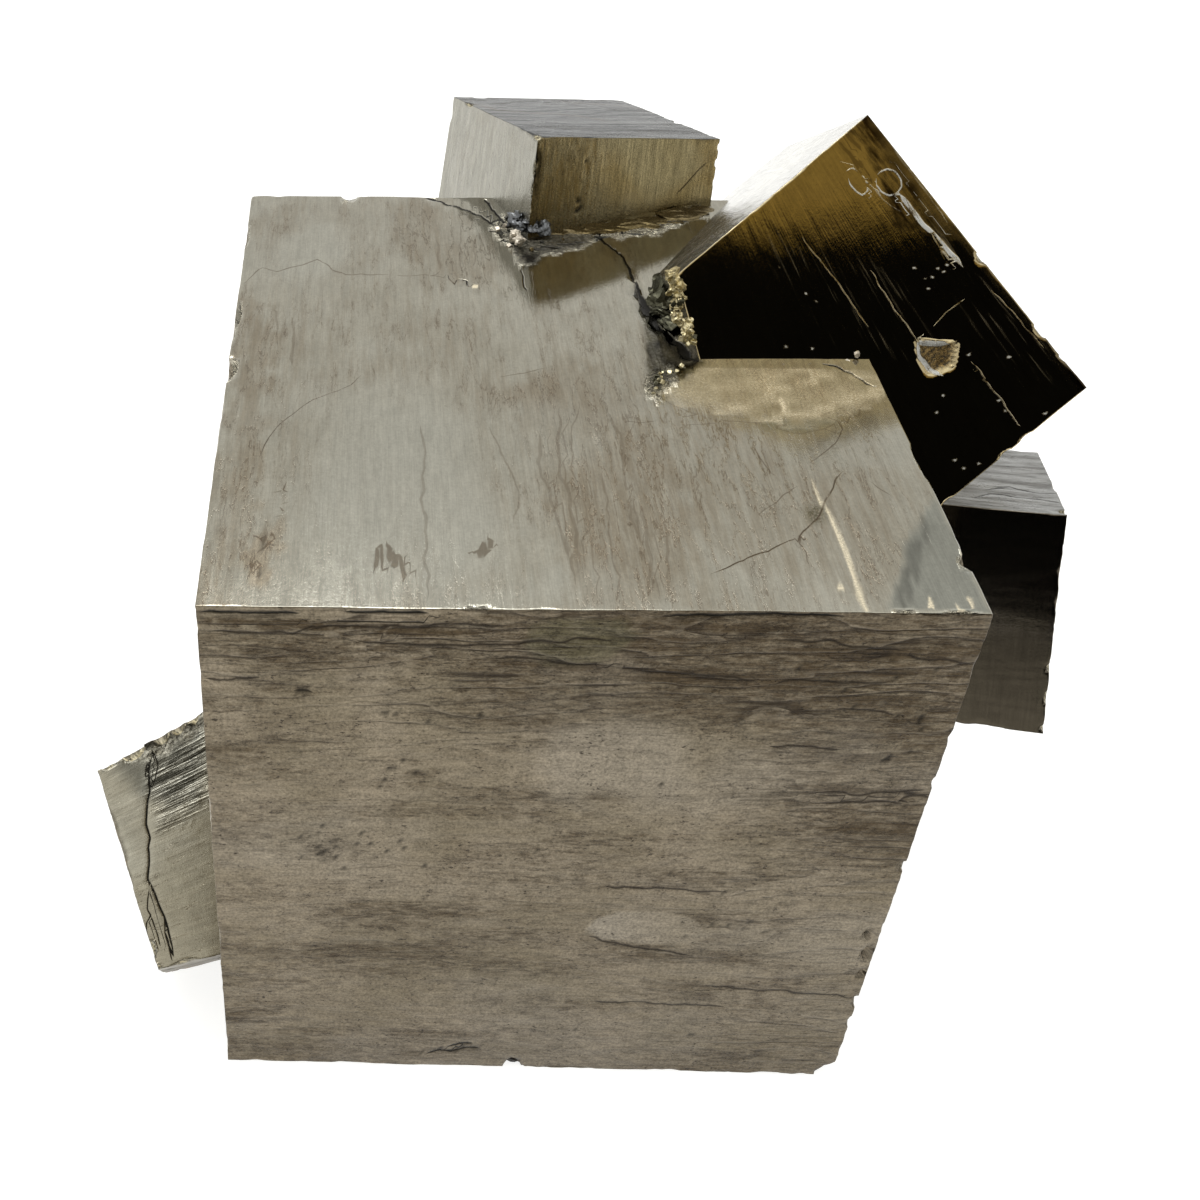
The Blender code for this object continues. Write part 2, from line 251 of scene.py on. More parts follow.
class Skin:
    """What a face looks like at each of its grid points, in arrays of one length."""

    def __init__(self, crystal, face, across, up, seed):
        self.crystal = crystal
        self.face = face
        self.across = across
        self.up = up
        self.seed = seed
        count = len(across)
        self.height = np.zeros(count)       # mm outwards
        self.growth = np.zeros(count)       # growth lines lie where this passes a whole number
        self.fine = np.zeros(count)         # the same for finer lines
        self.lines = np.zeros(count)        # how strong the growth lines are
        self.brown = np.zeros(count)
        self.pale = np.zeros(count)
        self.dust = np.zeros(count)
        self.dark = np.zeros(count)
        self.side = np.full(count, 3.0)     # signed distance from the nearest drawn line
        self.width = np.zeros(count)        # half width of that line
        self.tone = np.zeros(count)         # 1 is a black crack and -1 a cream streak
        self.rubble = np.zeros(count)       # torn, granular ground
        self.wet = np.zeros(count)          # a dark tint
        self.rust = np.zeros(count)

    def at(self, *pixels):
        """The places on this face under some pixels of the photograph."""
        return self.crystal.spots(pixels, self.face)

    def noise(self, across_size, up_size, layers=4, gain=0.5, salt=0, near=slice(None)):
        return flat_noise(
            self.across[near], self.up[near], across_size, up_size, self.seed + salt,
            layers, gain,
        )

    def close_to(self, spots, margin):
        """The numbers of the points in the box around some spots."""
        low = np.min(spots, axis=0) - margin
        high = np.max(spots, axis=0) + margin
        inside = (self.across > low[0]) & (self.across < high[0])
        inside &= (self.up > low[1]) & (self.up < high[1])
        return np.flatnonzero(inside)

    def blob(self, centre, reach, turn=0.0, warp=0.25, salt=900):
        """A soft patch from 0 to 1 around a spot, with a wandering outline."""
        near = self.close_to([centre], 2.0 * max(reach) + 0.5)
        cosine = math.cos(math.radians(turn))
        sine = math.sin(math.radians(turn))
        right = self.across[near] - centre[0]
        above = self.up[near] - centre[1]
        along = (right * cosine + above * sine) / reach[0]
        beside = (above * cosine - right * sine) / reach[1]
        size = min(reach)
        shake = warp * self.noise(size, size, salt=salt, near=near)
        found = np.zeros(len(self.across))
        found[near] = 1.0 - smooth_step(0.55, 1.25, np.sqrt(along ** 2 + beside ** 2) + shake)
        return found

    def draw(self, spots, width, tone, depth=0.0, wander=0.12):
        """A crack or a streak along a few spots, thinning out towards its ends."""
        near = self.close_to(spots, 1.5 + 3.0 * width)
        shake = 1.4
        right = self.across[near] + wander * self.noise(shake, shake, 3, salt=311, near=near)
        above = self.up[near] + wander * self.noise(shake, shake, 3, salt=353, near=near)
        best = np.full(len(right), 1e9)
        side = np.full(len(right), 1e9)
        way = np.zeros(len(right))
        steps = np.diff(spots, axis=0)
        lengths = np.linalg.norm(steps, axis=1)
        starts = np.concatenate([[0.0], np.cumsum(lengths)])
        total = starts[-1]
        for number, step in enumerate(steps):
            from_start = np.column_stack([right, above]) - spots[number]
            share = np.clip(from_start @ step / lengths[number] ** 2, 0.0, 1.0)
            off = from_start - share[:, None] * step
            distance = np.linalg.norm(off, axis=1)
            turned = step[0] * from_start[:, 1] - step[1] * from_start[:, 0]
            nearer = distance < best
            best = np.where(nearer, distance, best)
            side = np.where(nearer, np.where(turned >= 0.0, distance, -distance), side)
            way = np.where(nearer, (starts[number] + share * lengths[number]) / total, way)
        taper = smooth_step(0.0, 0.12, way) * smooth_step(0.0, 0.12, 1.0 - way)
        closer = best < np.abs(self.side[near])
        reached = best < 0.3 + 2.5 * width
        self.side[near] = np.where(closer, side, self.side[near])
        new_width = np.where(reached, width * taper, 0.0)
        self.width[near] = np.where(closer, new_width, self.width[near])
        self.tone[near] = np.where(closer, tone, self.tone[near])
        groove = np.clip(1.0 - best / (width * 2.0 + 0.1), 0.0, 1.0)
        self.height[near] -= depth * groove * taper

    def region(self, corners, soft, shake=0.0, salt=701):
        """1 inside a polygon and 0 outside it, over a soft border in mm."""
        near = self.close_to(corners, soft + 2.0 * shake + 0.3)
        right = self.across[near]
        above = self.up[near]
        if shake:
            right = right + shake * self.noise(1.5, 1.5, 4, salt=salt, near=near)
            above = above + shake * self.noise(1.5, 1.5, 4, salt=salt + 9, near=near)
        inside = np.zeros(len(right), bool)
        nearest = np.full(len(right), 1e9)
        for first, second in zip(corners, np.roll(corners, -1, axis=0)):
            step = second - first
            share = ((right - first[0]) * step[0] + (above - first[1]) * step[1]) / (step @ step)
            share = np.clip(share, 0.0, 1.0)
            off = np.hypot(right - first[0] - share * step[0], above - first[1] - share * step[1])
            nearest = np.minimum(nearest, off)
            crosses = (first[1] > above) != (second[1] > above)
            rise = second[1] - first[1]
            meeting = first[0] + (above - first[1]) * step[0] / (rise if rise else 1e-9)
            inside ^= crosses & (right < meeting)
        found = np.zeros(len(self.across))
        found[near] = smooth_step(-soft, soft, np.where(inside, nearest, -nearest))
        return found

    def patch(self, pixel, reach, *shape, **settings):
        return self.blob(self.at(pixel)[0], reach, *shape, **settings)

    def zone(self, pixels, soft, shake=0.0):
        return self.region(self.at(*pixels), soft, shake)

    def line(self, pixels, width, tone, **settings):
        self.draw(self.at(*pixels), width, tone, **settings)

    def pit_at(self, pixel, *shape):
        self.pit(self.at(pixel)[0], *shape)

    def tint(self, name, mask, strength=1.0):
        setattr(self, name, np.maximum(getattr(self, name), strength * mask))

    def pit(self, centre, radius, depth, dark=1.0):
        hollow = self.blob(centre, (radius, radius * 0.8), warp=0.3, salt=int(radius * 977))
        self.height -= depth * hollow
        self.dark = np.maximum(self.dark, dark * hollow)

    def scatter_pits(self, count, radius, depth, salt):
        """Small dark pits at repeatable random places."""
        rng = np.random.default_rng(self.seed + salt)
        low = np.array([self.across.min(), self.up.min()])
        high = np.array([self.across.max(), self.up.max()])
        for _ in range(count):
            centre = low + (high - low) * rng.random(2)
            self.pit(centre, radius * (0.5 + rng.random()), depth)


def plain_skin(skin, along_across=True, spacing=1.6, step=0.05, lines=0.5, swell=0.05,
               grit=0.02, waver=1.5):
    """Growth lines and steps that run across the face, or up it, as on every pyrite cube."""
    cross = skin.up if along_across else skin.across
    long_way, short_way = (17.0, 3.0) if along_across else (3.0, 17.0)
    skin.growth = (
        cross / spacing
        + waver * skin.noise(long_way, short_way, 3)
        + 0.23 * waver * skin.noise(long_way / 4, short_way / 3, 3, salt=41)
    )
    skin.fine = (
        cross / spacing * 3.1
        + 1.5 * waver * skin.noise(long_way * 0.8, short_way * 0.7, 3, salt=77)
    )
    skin.lines = lines * smooth_step(-0.35, 0.6, skin.noise(14.0, 6.0, 3, salt=5))
    skin.height = (
        swell * skin.noise(13.0, 13.0, 3, salt=9)
        + step * (stairs(skin.growth) - skin.growth)
        + 0.3 * step * (stairs(skin.fine) - skin.fine)
        + grit * skin.noise(1.3, 1.3, 3, salt=13)
    )
    skin.brown = 0.5 * smooth_step(0.0, 0.9, skin.noise(9.0, 9.0, 4, salt=21))
    skin.pale = 0.4 * smooth_step(0.1, 0.9, skin.noise(11.0, 8.0, 4, salt=25))


def worn(local, size, seed, wear):
    """Round the cube's edges, by an amount that wanders along them."""
    wander = layered(local / WEAR_SIZE, seed, 3)
    radius = EDGE_ROUND + wear * np.clip(wander - 0.2, 0.0, 1.0)
    radius = radius[:, None]
    inner = np.clip(local, radius, size - radius)
    away = local - inner
    reach = np.linalg.norm(away, axis=1, keepdims=True)
    return inner + away / reach * radius


def chip_away(local, size, chips, seed):
    """Scoop uneven hollows: each chip is a place and three radii in mm, and a roughness.

    Returns the new places and how much of a fresh break each point is on.
    """
    fresh = np.zeros(len(local))
    for number, (place, radii, rough) in enumerate(chips):
        middle = size / 2.0
        inward = middle - np.array(place)
        inward /= np.linalg.norm(inward)
        radii = np.array(radii)
        offset = (local - np.array(place)) / radii
        offset *= 1.0 + 0.25 * layered(local / 1.1, seed + 7 * number, 3)[:, None]
        step = inward / radii
        slope = offset @ step
        inside = np.sum(offset ** 2, axis=1) - 1.0
        square = step @ step
        root = np.sqrt(np.clip(slope ** 2 - square * inside, 0.0, None))
        depth = np.where(inside < 0.0, (root - slope) / square, 0.0)
        depth = np.clip(depth, 0.0, None) * (1.0 + rough * layered(local / 0.7, seed, 3))
        local = local + depth[:, None] * inward
        fresh = np.maximum(fresh, smooth_step(0.0, 0.12, depth))
    return local, fresh


def face_grid(crystal, face):
    """A face's lattice numbers, local places and its quads, wound outwards."""
    axis, side, across, up = FACES[face]
    lines = [grid_lines(length, cells) for length, cells in zip(crystal.size, crystal.cells)]
    counts = [len(line) for line in lines]
    right, above = np.meshgrid(np.arange(counts[across]), np.arange(counts[up]))
    key = np.zeros((right.size, 3), int)
    key[:, across] = right.ravel()
    key[:, up] = above.ravel()
    key[:, axis] = side * (counts[axis] - 1)
    local = np.column_stack([lines[way][key[:, way]] for way in range(3)])
    number = np.arange(right.size).reshape(right.shape)
    quads = np.stack(
        [number[:-1, :-1], number[:-1, 1:], number[1:, 1:], number[1:, :-1]], axis=-1
    ).reshape(-1, 4)
    outward_positive = axis != 1
    if (side == 1) != outward_positive:
        quads = quads[:, ::-1]
    return key, local, quads


def store(mesh, name, kind, field, values):
    attribute = mesh.attributes.new(name, kind, "CORNER")
    attribute.data.foreach_set(field, np.ascontiguousarray(values, np.float32).ravel())


def build_crystal(crystal, skins, chips, seed, wear=0.45):
    """The crystal's mesh, with what the materials need stored on its face corners."""
    keys, places, quads, lifts, face_numbers, skin_list = [], [], [], [], [], []
    start = 0
    for number, face in enumerate(FACES):
        key, local, faces = face_grid(crystal, face)
        axis, side, across, up = FACES[face]
        outward = np.zeros(3)
        outward[axis] = 2 * side - 1
        skin = Skin(crystal, face, local[:, across], local[:, up], seed + 100 * number)
        skins.get(face, other_skin)(skin)
        keys.append(key)
        places.append(local)
        lifts.append(skin.height[:, None] * outward)
        quads.append(faces + start)
        face_numbers.append(np.full(len(faces), number))
        skin_list.append(skin)
        start += len(key)
    places = np.concatenate(places)
    quads = np.concatenate(quads)
    _, first, shared = np.unique(
        np.concatenate(keys), axis=0, return_index=True, return_inverse=True
    )
    shared = shared.ravel()
    lift = np.zeros((len(first), 3))
    np.add.at(lift, shared, np.concatenate(lifts))
    local = worn(places[first], crystal.size, seed, wear)
    local, fresh = chip_away(local + lift, crystal.size, chips, seed)
    mesh = bpy.data.meshes.new(crystal.name)
    mesh.from_pydata(crystal.world(local).tolist(), [], shared[quads].tolist())
    mesh.polygons.foreach_set("material_index", np.concatenate(face_numbers))
    mesh.polygons.foreach_set("use_smooth", np.ones(len(quads), bool))

    def corner_values(*names):
        columns = [np.concatenate([getattr(skin, name) for skin in skin_list]) for name in names]
        return np.column_stack(columns)[quads.ravel()]

    store(mesh, "local_mm", "FLOAT_VECTOR", "vector", places[quads.ravel()])
    store(mesh, "growth", "FLOAT_VECTOR", "vector", corner_values("growth", "fine", "lines"))
    store(mesh, "drawn", "FLOAT_VECTOR", "vector", corner_values("side", "width", "tone"))
    store(mesh, "tints", "FLOAT_COLOR", "color", corner_values("brown", "pale", "dust", "dark"))
    torn = corner_values("rubble", "wet", "rust")
    torn[:, 0] = np.maximum(torn[:, 0], fresh[shared[quads.ravel()]])
    store(mesh, "fresh", "FLOAT_VECTOR", "vector", torn)
    mesh.update()
    piece = bpy.data.objects.new(crystal.name, mesh)
    bpy.context.scene.collection.objects.link(piece)
    return piece


# Materials
class Graph:
    """A node tree, with short ways to add and join its nodes."""

    def __init__(self, tree):
        self.tree = tree

    def node(self, kind, **settings):
        node = self.tree.nodes.new(kind)
        for name, value in settings.items():
            setattr(node, name, value)
        return node

    def feed(self, socket, value):
        if isinstance(value, bpy.types.NodeSocket):
            self.tree.links.new(value, socket)
        elif isinstance(value, tuple) and len(value) == 3 and socket.type == "RGBA":
            socket.default_value = (*value, 1.0)
        else:
            socket.default_value = value

    def math(self, operation, first, second=0.0, third=0.0, clamp=False):
        node = self.node("ShaderNodeMath", operation=operation, use_clamp=clamp)
        self.feed(node.inputs[0], first)
        self.feed(node.inputs[1], second)
        self.feed(node.inputs[2], third)
        return node.outputs[0]

    def times(self, first, second, clamp=False):
        return self.math("MULTIPLY", first, second, clamp=clamp)

    def plus(self, first, second, clamp=False):
        return self.math("ADD", first, second, clamp=clamp)

    def minus(self, first, second, clamp=False):
        return self.math("SUBTRACT", first, second, clamp=clamp)

    def mix(self, share, first, second):
        node = self.node("ShaderNodeMix", data_type="RGBA")
        self.feed(node.inputs[0], share)
        self.feed(node.inputs[6], first)
        self.feed(node.inputs[7], second)
        return node.outputs[2]

    def ramp(self, value, low, high, start=0.0, end=1.0):
        """A smooth ramp from start to end while the value goes from low to high."""
        node = self.node("ShaderNodeMapRange", interpolation_type="SMOOTHSTEP")
        self.feed(node.inputs["Value"], value)
        node.inputs["From Min"].default_value = low
        node.inputs["From Max"].default_value = high
        node.inputs["To Min"].default_value = start
        node.inputs["To Max"].default_value = end
        return node.outputs["Result"]

    def swing(self, value, low, high, size):
        """The same ramp from minus the size to plus the size."""
        return self.ramp(value, low, high, -size, size)

    def stored(self, name):
        return self.node("ShaderNodeAttribute", attribute_name=name)

    def parts(self, vector):
        node = self.node("ShaderNodeSeparateXYZ")
        self.feed(node.inputs[0], vector)
        return node.outputs

    def scaled(self, vector, scale):
        node = self.node("ShaderNodeVectorMath", operation="MULTIPLY")
        self.feed(node.inputs[0], vector)
        node.inputs[1].default_value = scale
        return node.outputs[0]

    def noise(self, vector, scale, detail=3.0, roughness=0.55, warp=0.0):
        """Noise with its own number of grains per mm along each local axis."""
        node = self.node("ShaderNodeTexNoise", noise_dimensions="3D")
        self.feed(node.inputs["Vector"], self.scaled(vector, scale))
        node.inputs["Scale"].default_value = 1.0
        node.inputs["Detail"].default_value = detail
        node.inputs["Roughness"].default_value = roughness
        node.inputs["Distortion"].default_value = warp
        return node.outputs["Fac"]


BLACK = (0.012, 0.011, 0.009)
FRESH_SHADOW = (0.05, 0.045, 0.035)
BUMP_HEIGHT = 0.00005


def pyrite(name, look, streak):
    """Tarnished pyrite, whose colours also carry painted shade, highlights and reflections.

    look gives the colours and strengths. streak says which local axis the fine
    striations follow: 0, 1 or 2.
    """
    material = bpy.data.materials.new(name)
    material.use_nodes = True
    graph = Graph(material.node_tree)
    shader = material.node_tree.nodes["Principled BSDF"]
    place = graph.stored("local_mm").outputs["Vector"]
    growth, fine, lines = graph.parts(graph.stored("growth").outputs["Vector"])
    side, width, tone = graph.parts(graph.stored("drawn").outputs["Vector"])
    tints = graph.stored("tints")
    brown, pale, dust = graph.parts(tints.outputs["Color"])
    dark = tints.outputs["Alpha"]
    fresh, wet, rust = graph.parts(graph.stored("fresh").outputs["Vector"])

    def long_grain(across, along):
        return tuple(along if axis == streak else across for axis in range(3))

    striae = graph.noise(place, long_grain(4.6, 0.16), 4.0, 0.6)
    threads = graph.noise(place, long_grain(13.0, 0.5), 2.0, 0.6)
    grain = graph.noise(place, (5.0, 5.0, 5.0), 4.0, 0.7)
    specks = graph.noise(place, long_grain(3.2, 1.8), 3.0, 0.8)
    patches = graph.noise(place, (0.35, 0.35, 0.35), 5.0, 0.6, 0.6)
    clouds = graph.noise(place, (0.12, 0.12, 0.12), 3.0, 0.5)
    ragged = graph.noise(place, long_grain(*look["ragged_grain"]), 6.0, 0.75)
    mottle = graph.noise(place, long_grain(*look["mottle_grain"]), 4.0, 0.7, 0.5)
    veined = graph.noise(place, long_grain(*look["vein_grain"]), 6.0, 0.66, 0.3)
    crisp = graph.noise(place, (6.5, 6.5, 6.5), 2.0, 0.6)

    # Growth lines: painted shade on the low side of each step and a painted highlight on its lip,
    # over the real grooves
    share = graph.math("FRACT", growth)
    line = graph.times(graph.ramp(share, 0.66, 0.97), graph.ramp(share, 0.97, 1.0, 1.0, 0.0))
    lip_highlight = graph.ramp(share, 0.0, 0.16, 1.0, 0.0)
    fine_share = graph.math("FRACT", fine)
    fine_line = graph.times(
        graph.ramp(fine_share, 0.55, 0.95), graph.ramp(fine_share, 0.95, 1.0, 1.0, 0.0)
    )
    broken = graph.ramp(striae, 0.36, 0.62)
    line = graph.times(graph.times(line, lines), broken)
    fine_line = graph.times(graph.times(fine_line, lines), broken)

    # Drawn cracks and streaks
    distance = graph.math("ABSOLUTE", side)
    reach = graph.math("DIVIDE", distance, graph.math("MAXIMUM", width, 0.0005))
    core = graph.ramp(reach, 0.55 - look["soft"], 1.25 + look["soft"], 1.0, 0.0)
    halo = graph.times(graph.ramp(reach, 0.6, 2.6, 1.0, 0.0), look["halo"])
    wide = graph.math("GREATER_THAN", width, 0.004)
    crack = graph.times(graph.math("MAXIMUM", core, halo), wide)
    dark_crack = graph.times(crack, graph.ramp(tone, 0.0, 0.75))
    dark_crack = graph.times(dark_crack, graph.ramp(ragged, 0.25, 0.45))
    crack_colour = graph.mix(graph.ramp(tone, 0.45, 0.9), look["line_colour"], BLACK)
    lightness = graph.math("MAXIMUM", graph.times(tone, -1.0), 0.0)
    cream_streak = graph.times(graph.times(core, wide), lightness, clamp=True)
    cream_streak = graph.times(cream_streak, graph.ramp(ragged, 0.35, 0.6))

    # Colour
    colour = graph.mix(graph.ramp(clouds, 0.35, 0.65), look["base"], look["base_2"])
    colour = graph.mix(graph.ramp(patches, 0.45, 0.75, 0.0, look["patchy"]), colour, look["brown"])
    ragged_brown = graph.plus(brown, graph.swing(ragged, 0.25, 0.75, -look["ragged_depth"]))
    brown_share = graph.ramp(ragged_brown, look["ragged"], 1.0)
    colour = graph.mix(brown_share, colour, look["brown"])
    off_vein = graph.math("ABSOLUTE", graph.minus(veined, 0.5))
    vein = graph.times(
        graph.ramp(off_vein, 0.0, look["vein_width"], 1.0, 0.0), graph.ramp(ragged_brown, 0.1, 0.7)
    )
    colour = graph.mix(graph.times(vein, look["veins"]), colour, look["line_colour"])
    colour = graph.mix(graph.times(pale, 0.9), colour, look["pale"])
    colour = graph.mix(wet, colour, look["wet"])
    shade = graph.plus(
        graph.swing(striae, 0.2, 0.8, look["striae"]), graph.swing(grain, 0.2, 0.8, look["grain"])
    )
    shade = graph.plus(shade, graph.swing(threads, 0.25, 0.75, look["threads"]))
    shade = graph.plus(shade, graph.swing(mottle, 0.25, 0.75, look["mottle"]))
    shade = graph.plus(shade, 1.0)
    bright = graph.node("ShaderNodeVectorMath", operation="SCALE")
    graph.feed(bright.inputs[0], colour)
    graph.feed(bright.inputs["Scale"], shade)
    colour = bright.outputs[0]
    # Painted highlight on each step's lip, then painted shade along the growth lines and the faint
    # lines
    colour = graph.mix(graph.times(lip_highlight, graph.times(lines, 0.22)), colour, look["pale"])
    colour = graph.mix(graph.times(line, look["line"]), colour, look["line_colour"])
    faint_line = graph.times(fine_line, look["line"] * 0.45)
    colour = graph.mix(faint_line, colour, look["line_colour"])
    pocks = graph.noise(place, long_grain(4.4, 2.2), 2.0, 0.7)
    pock = graph.times(
        graph.ramp(pocks, 0.33, 0.41, look["pitted"], 0.0), graph.ramp(patches, 0.42, 0.62)
    )
    colour = graph.mix(pock, colour, look["line_colour"])
    speck = graph.ramp(specks, look["speck_from"], look["speck_from"] + 0.06)
    colour = graph.mix(graph.times(speck, 0.75), colour, look["line_colour"])
    # Rust spots, and on the large top the painted reflection and shade of GAP_SHADE
    rusty = graph.times(rust, graph.math("MAXIMUM", graph.ramp(grain, 0.35, 0.6), look["streaky"]))
    rust_colour = graph.mix(graph.ramp(striae, 0.44, 0.62), look["rust"], look["rust_2"])
    colour = graph.mix(rusty, colour, rust_colour)
    fresh_tone = graph.mix(graph.ramp(grain, 0.35, 0.62), FRESH_SHADOW, look["fresh"])
    colour = graph.mix(fresh, colour, fresh_tone)
    colour = graph.mix(dark_crack, colour, crack_colour)
    colour = graph.mix(dark, colour, BLACK)
    dusty = graph.ramp(graph.plus(dust, graph.swing(crisp, 0.2, 0.8, look["crisp"])), 0.2, 0.8)
    dusty = graph.times(dusty, graph.ramp(dust, 0.02, 0.25))
    scratch = graph.times(graph.ramp(striae, 0.56, 0.72), look["scratch"])
    dusty = graph.math("MAXIMUM", dusty, graph.times(pale, scratch))
    dusty = graph.math("MAXIMUM", dusty, cream_streak)
    colour = graph.mix(graph.ramp(dusty, 0.0, 0.6), colour, look["cream"])
    graph.feed(shader.inputs["Base Color"], colour)

    shader.inputs["Specular Tint"].default_value = (*look["edge"], 1.0)
    metal = graph.minus(1.0, graph.times(dusty, 0.85), clamp=True)
    graph.feed(shader.inputs["Metallic"], metal)

    rough = graph.plus(look["rough"], graph.swing(grain, 0.2, 0.8, look["rough_vary"]))
    rough = graph.plus(rough, graph.times(brown, 0.10))
    rough = graph.plus(rough, graph.times(dusty, 0.4))
    rough = graph.plus(rough, graph.times(fresh, 0.1), clamp=True)
    graph.feed(shader.inputs["Roughness"], rough)

    # Bump
    relief = graph.times(striae, look["bump_striae"])
    relief = graph.plus(relief, graph.times(threads, look["bump_threads"]))
    relief = graph.plus(relief, graph.times(grain, look["bump_grain"]))
    relief = graph.minus(relief, graph.times(line, 0.55))
    relief = graph.minus(relief, graph.times(fine_line, 0.25))
    opened = graph.times(dark_crack, graph.ramp(tone, 0.5, 0.9, 0.0, 1.4))
    relief = graph.minus(relief, opened)
    relief = graph.minus(relief, graph.times(speck, 0.25))
    relief = graph.minus(relief, graph.times(pock, 0.5))
    relief = graph.minus(relief, graph.times(vein, look["bump_veins"]))
    torn_relief = graph.times(graph.times(rust, striae), look["streaky"] * 6.0)
    relief = graph.plus(relief, torn_relief)
    relief = graph.plus(relief, graph.times(cream_streak, 0.6))
    broken_face = graph.noise(place, (2.2, 2.2, 2.2), 5.0, 0.7, 1.0)
    relief = graph.plus(relief, graph.times(graph.times(fresh, broken_face), 6.0))
    bump = graph.node("ShaderNodeBump")
    bump.inputs["Strength"].default_value = 1.0
    bump.inputs["Distance"].default_value = BUMP_HEIGHT
    graph.feed(bump.inputs["Height"], relief)
    graph.feed(shader.inputs["Normal"], bump.outputs["Normal"])
    return material


PLAIN = {
    "base": (0.46, 0.42, 0.34), "base_2": (0.53, 0.50, 0.42), "brown": (0.28, 0.21, 0.13),
    "pale": (0.62, 0.60, 0.54), "line_colour": (0.10, 0.075, 0.05), "fresh": (0.75, 0.68, 0.48),
    "wet": (0.10, 0.095, 0.055), "cream": (0.62, 0.55, 0.40), "rust": (0.10, 0.05, 0.02),
    "rust_2": (0.10, 0.05, 0.02), "streaky": 0.0, "scratch": 0.0, "patchy": 0.25,
    "ragged": 0.3, "ragged_grain": (2.6, 0.5), "ragged_depth": 0.6,
    "mottle": 0.12, "mottle_grain": (1.5, 0.5),
    "veins": 0.4, "vein_grain": (0.9, 0.22), "vein_width": 0.014, "bump_veins": 0.3,
    "striae": 0.10, "grain": 0.08, "threads": 0.05, "line": 0.8,
    "speck_from": 0.71, "rough": 0.24, "rough_vary": 0.06, "halo": 0.22, "soft": 0.0,
    "bump_striae": 0.5, "bump_threads": 0.2, "bump_grain": 0.25, "pitted": 0.0,
    "edge": (1.0, 1.0, 1.0), "crisp": 0.13,
}


def look(**changes):
    return {**PLAIN, **changes}


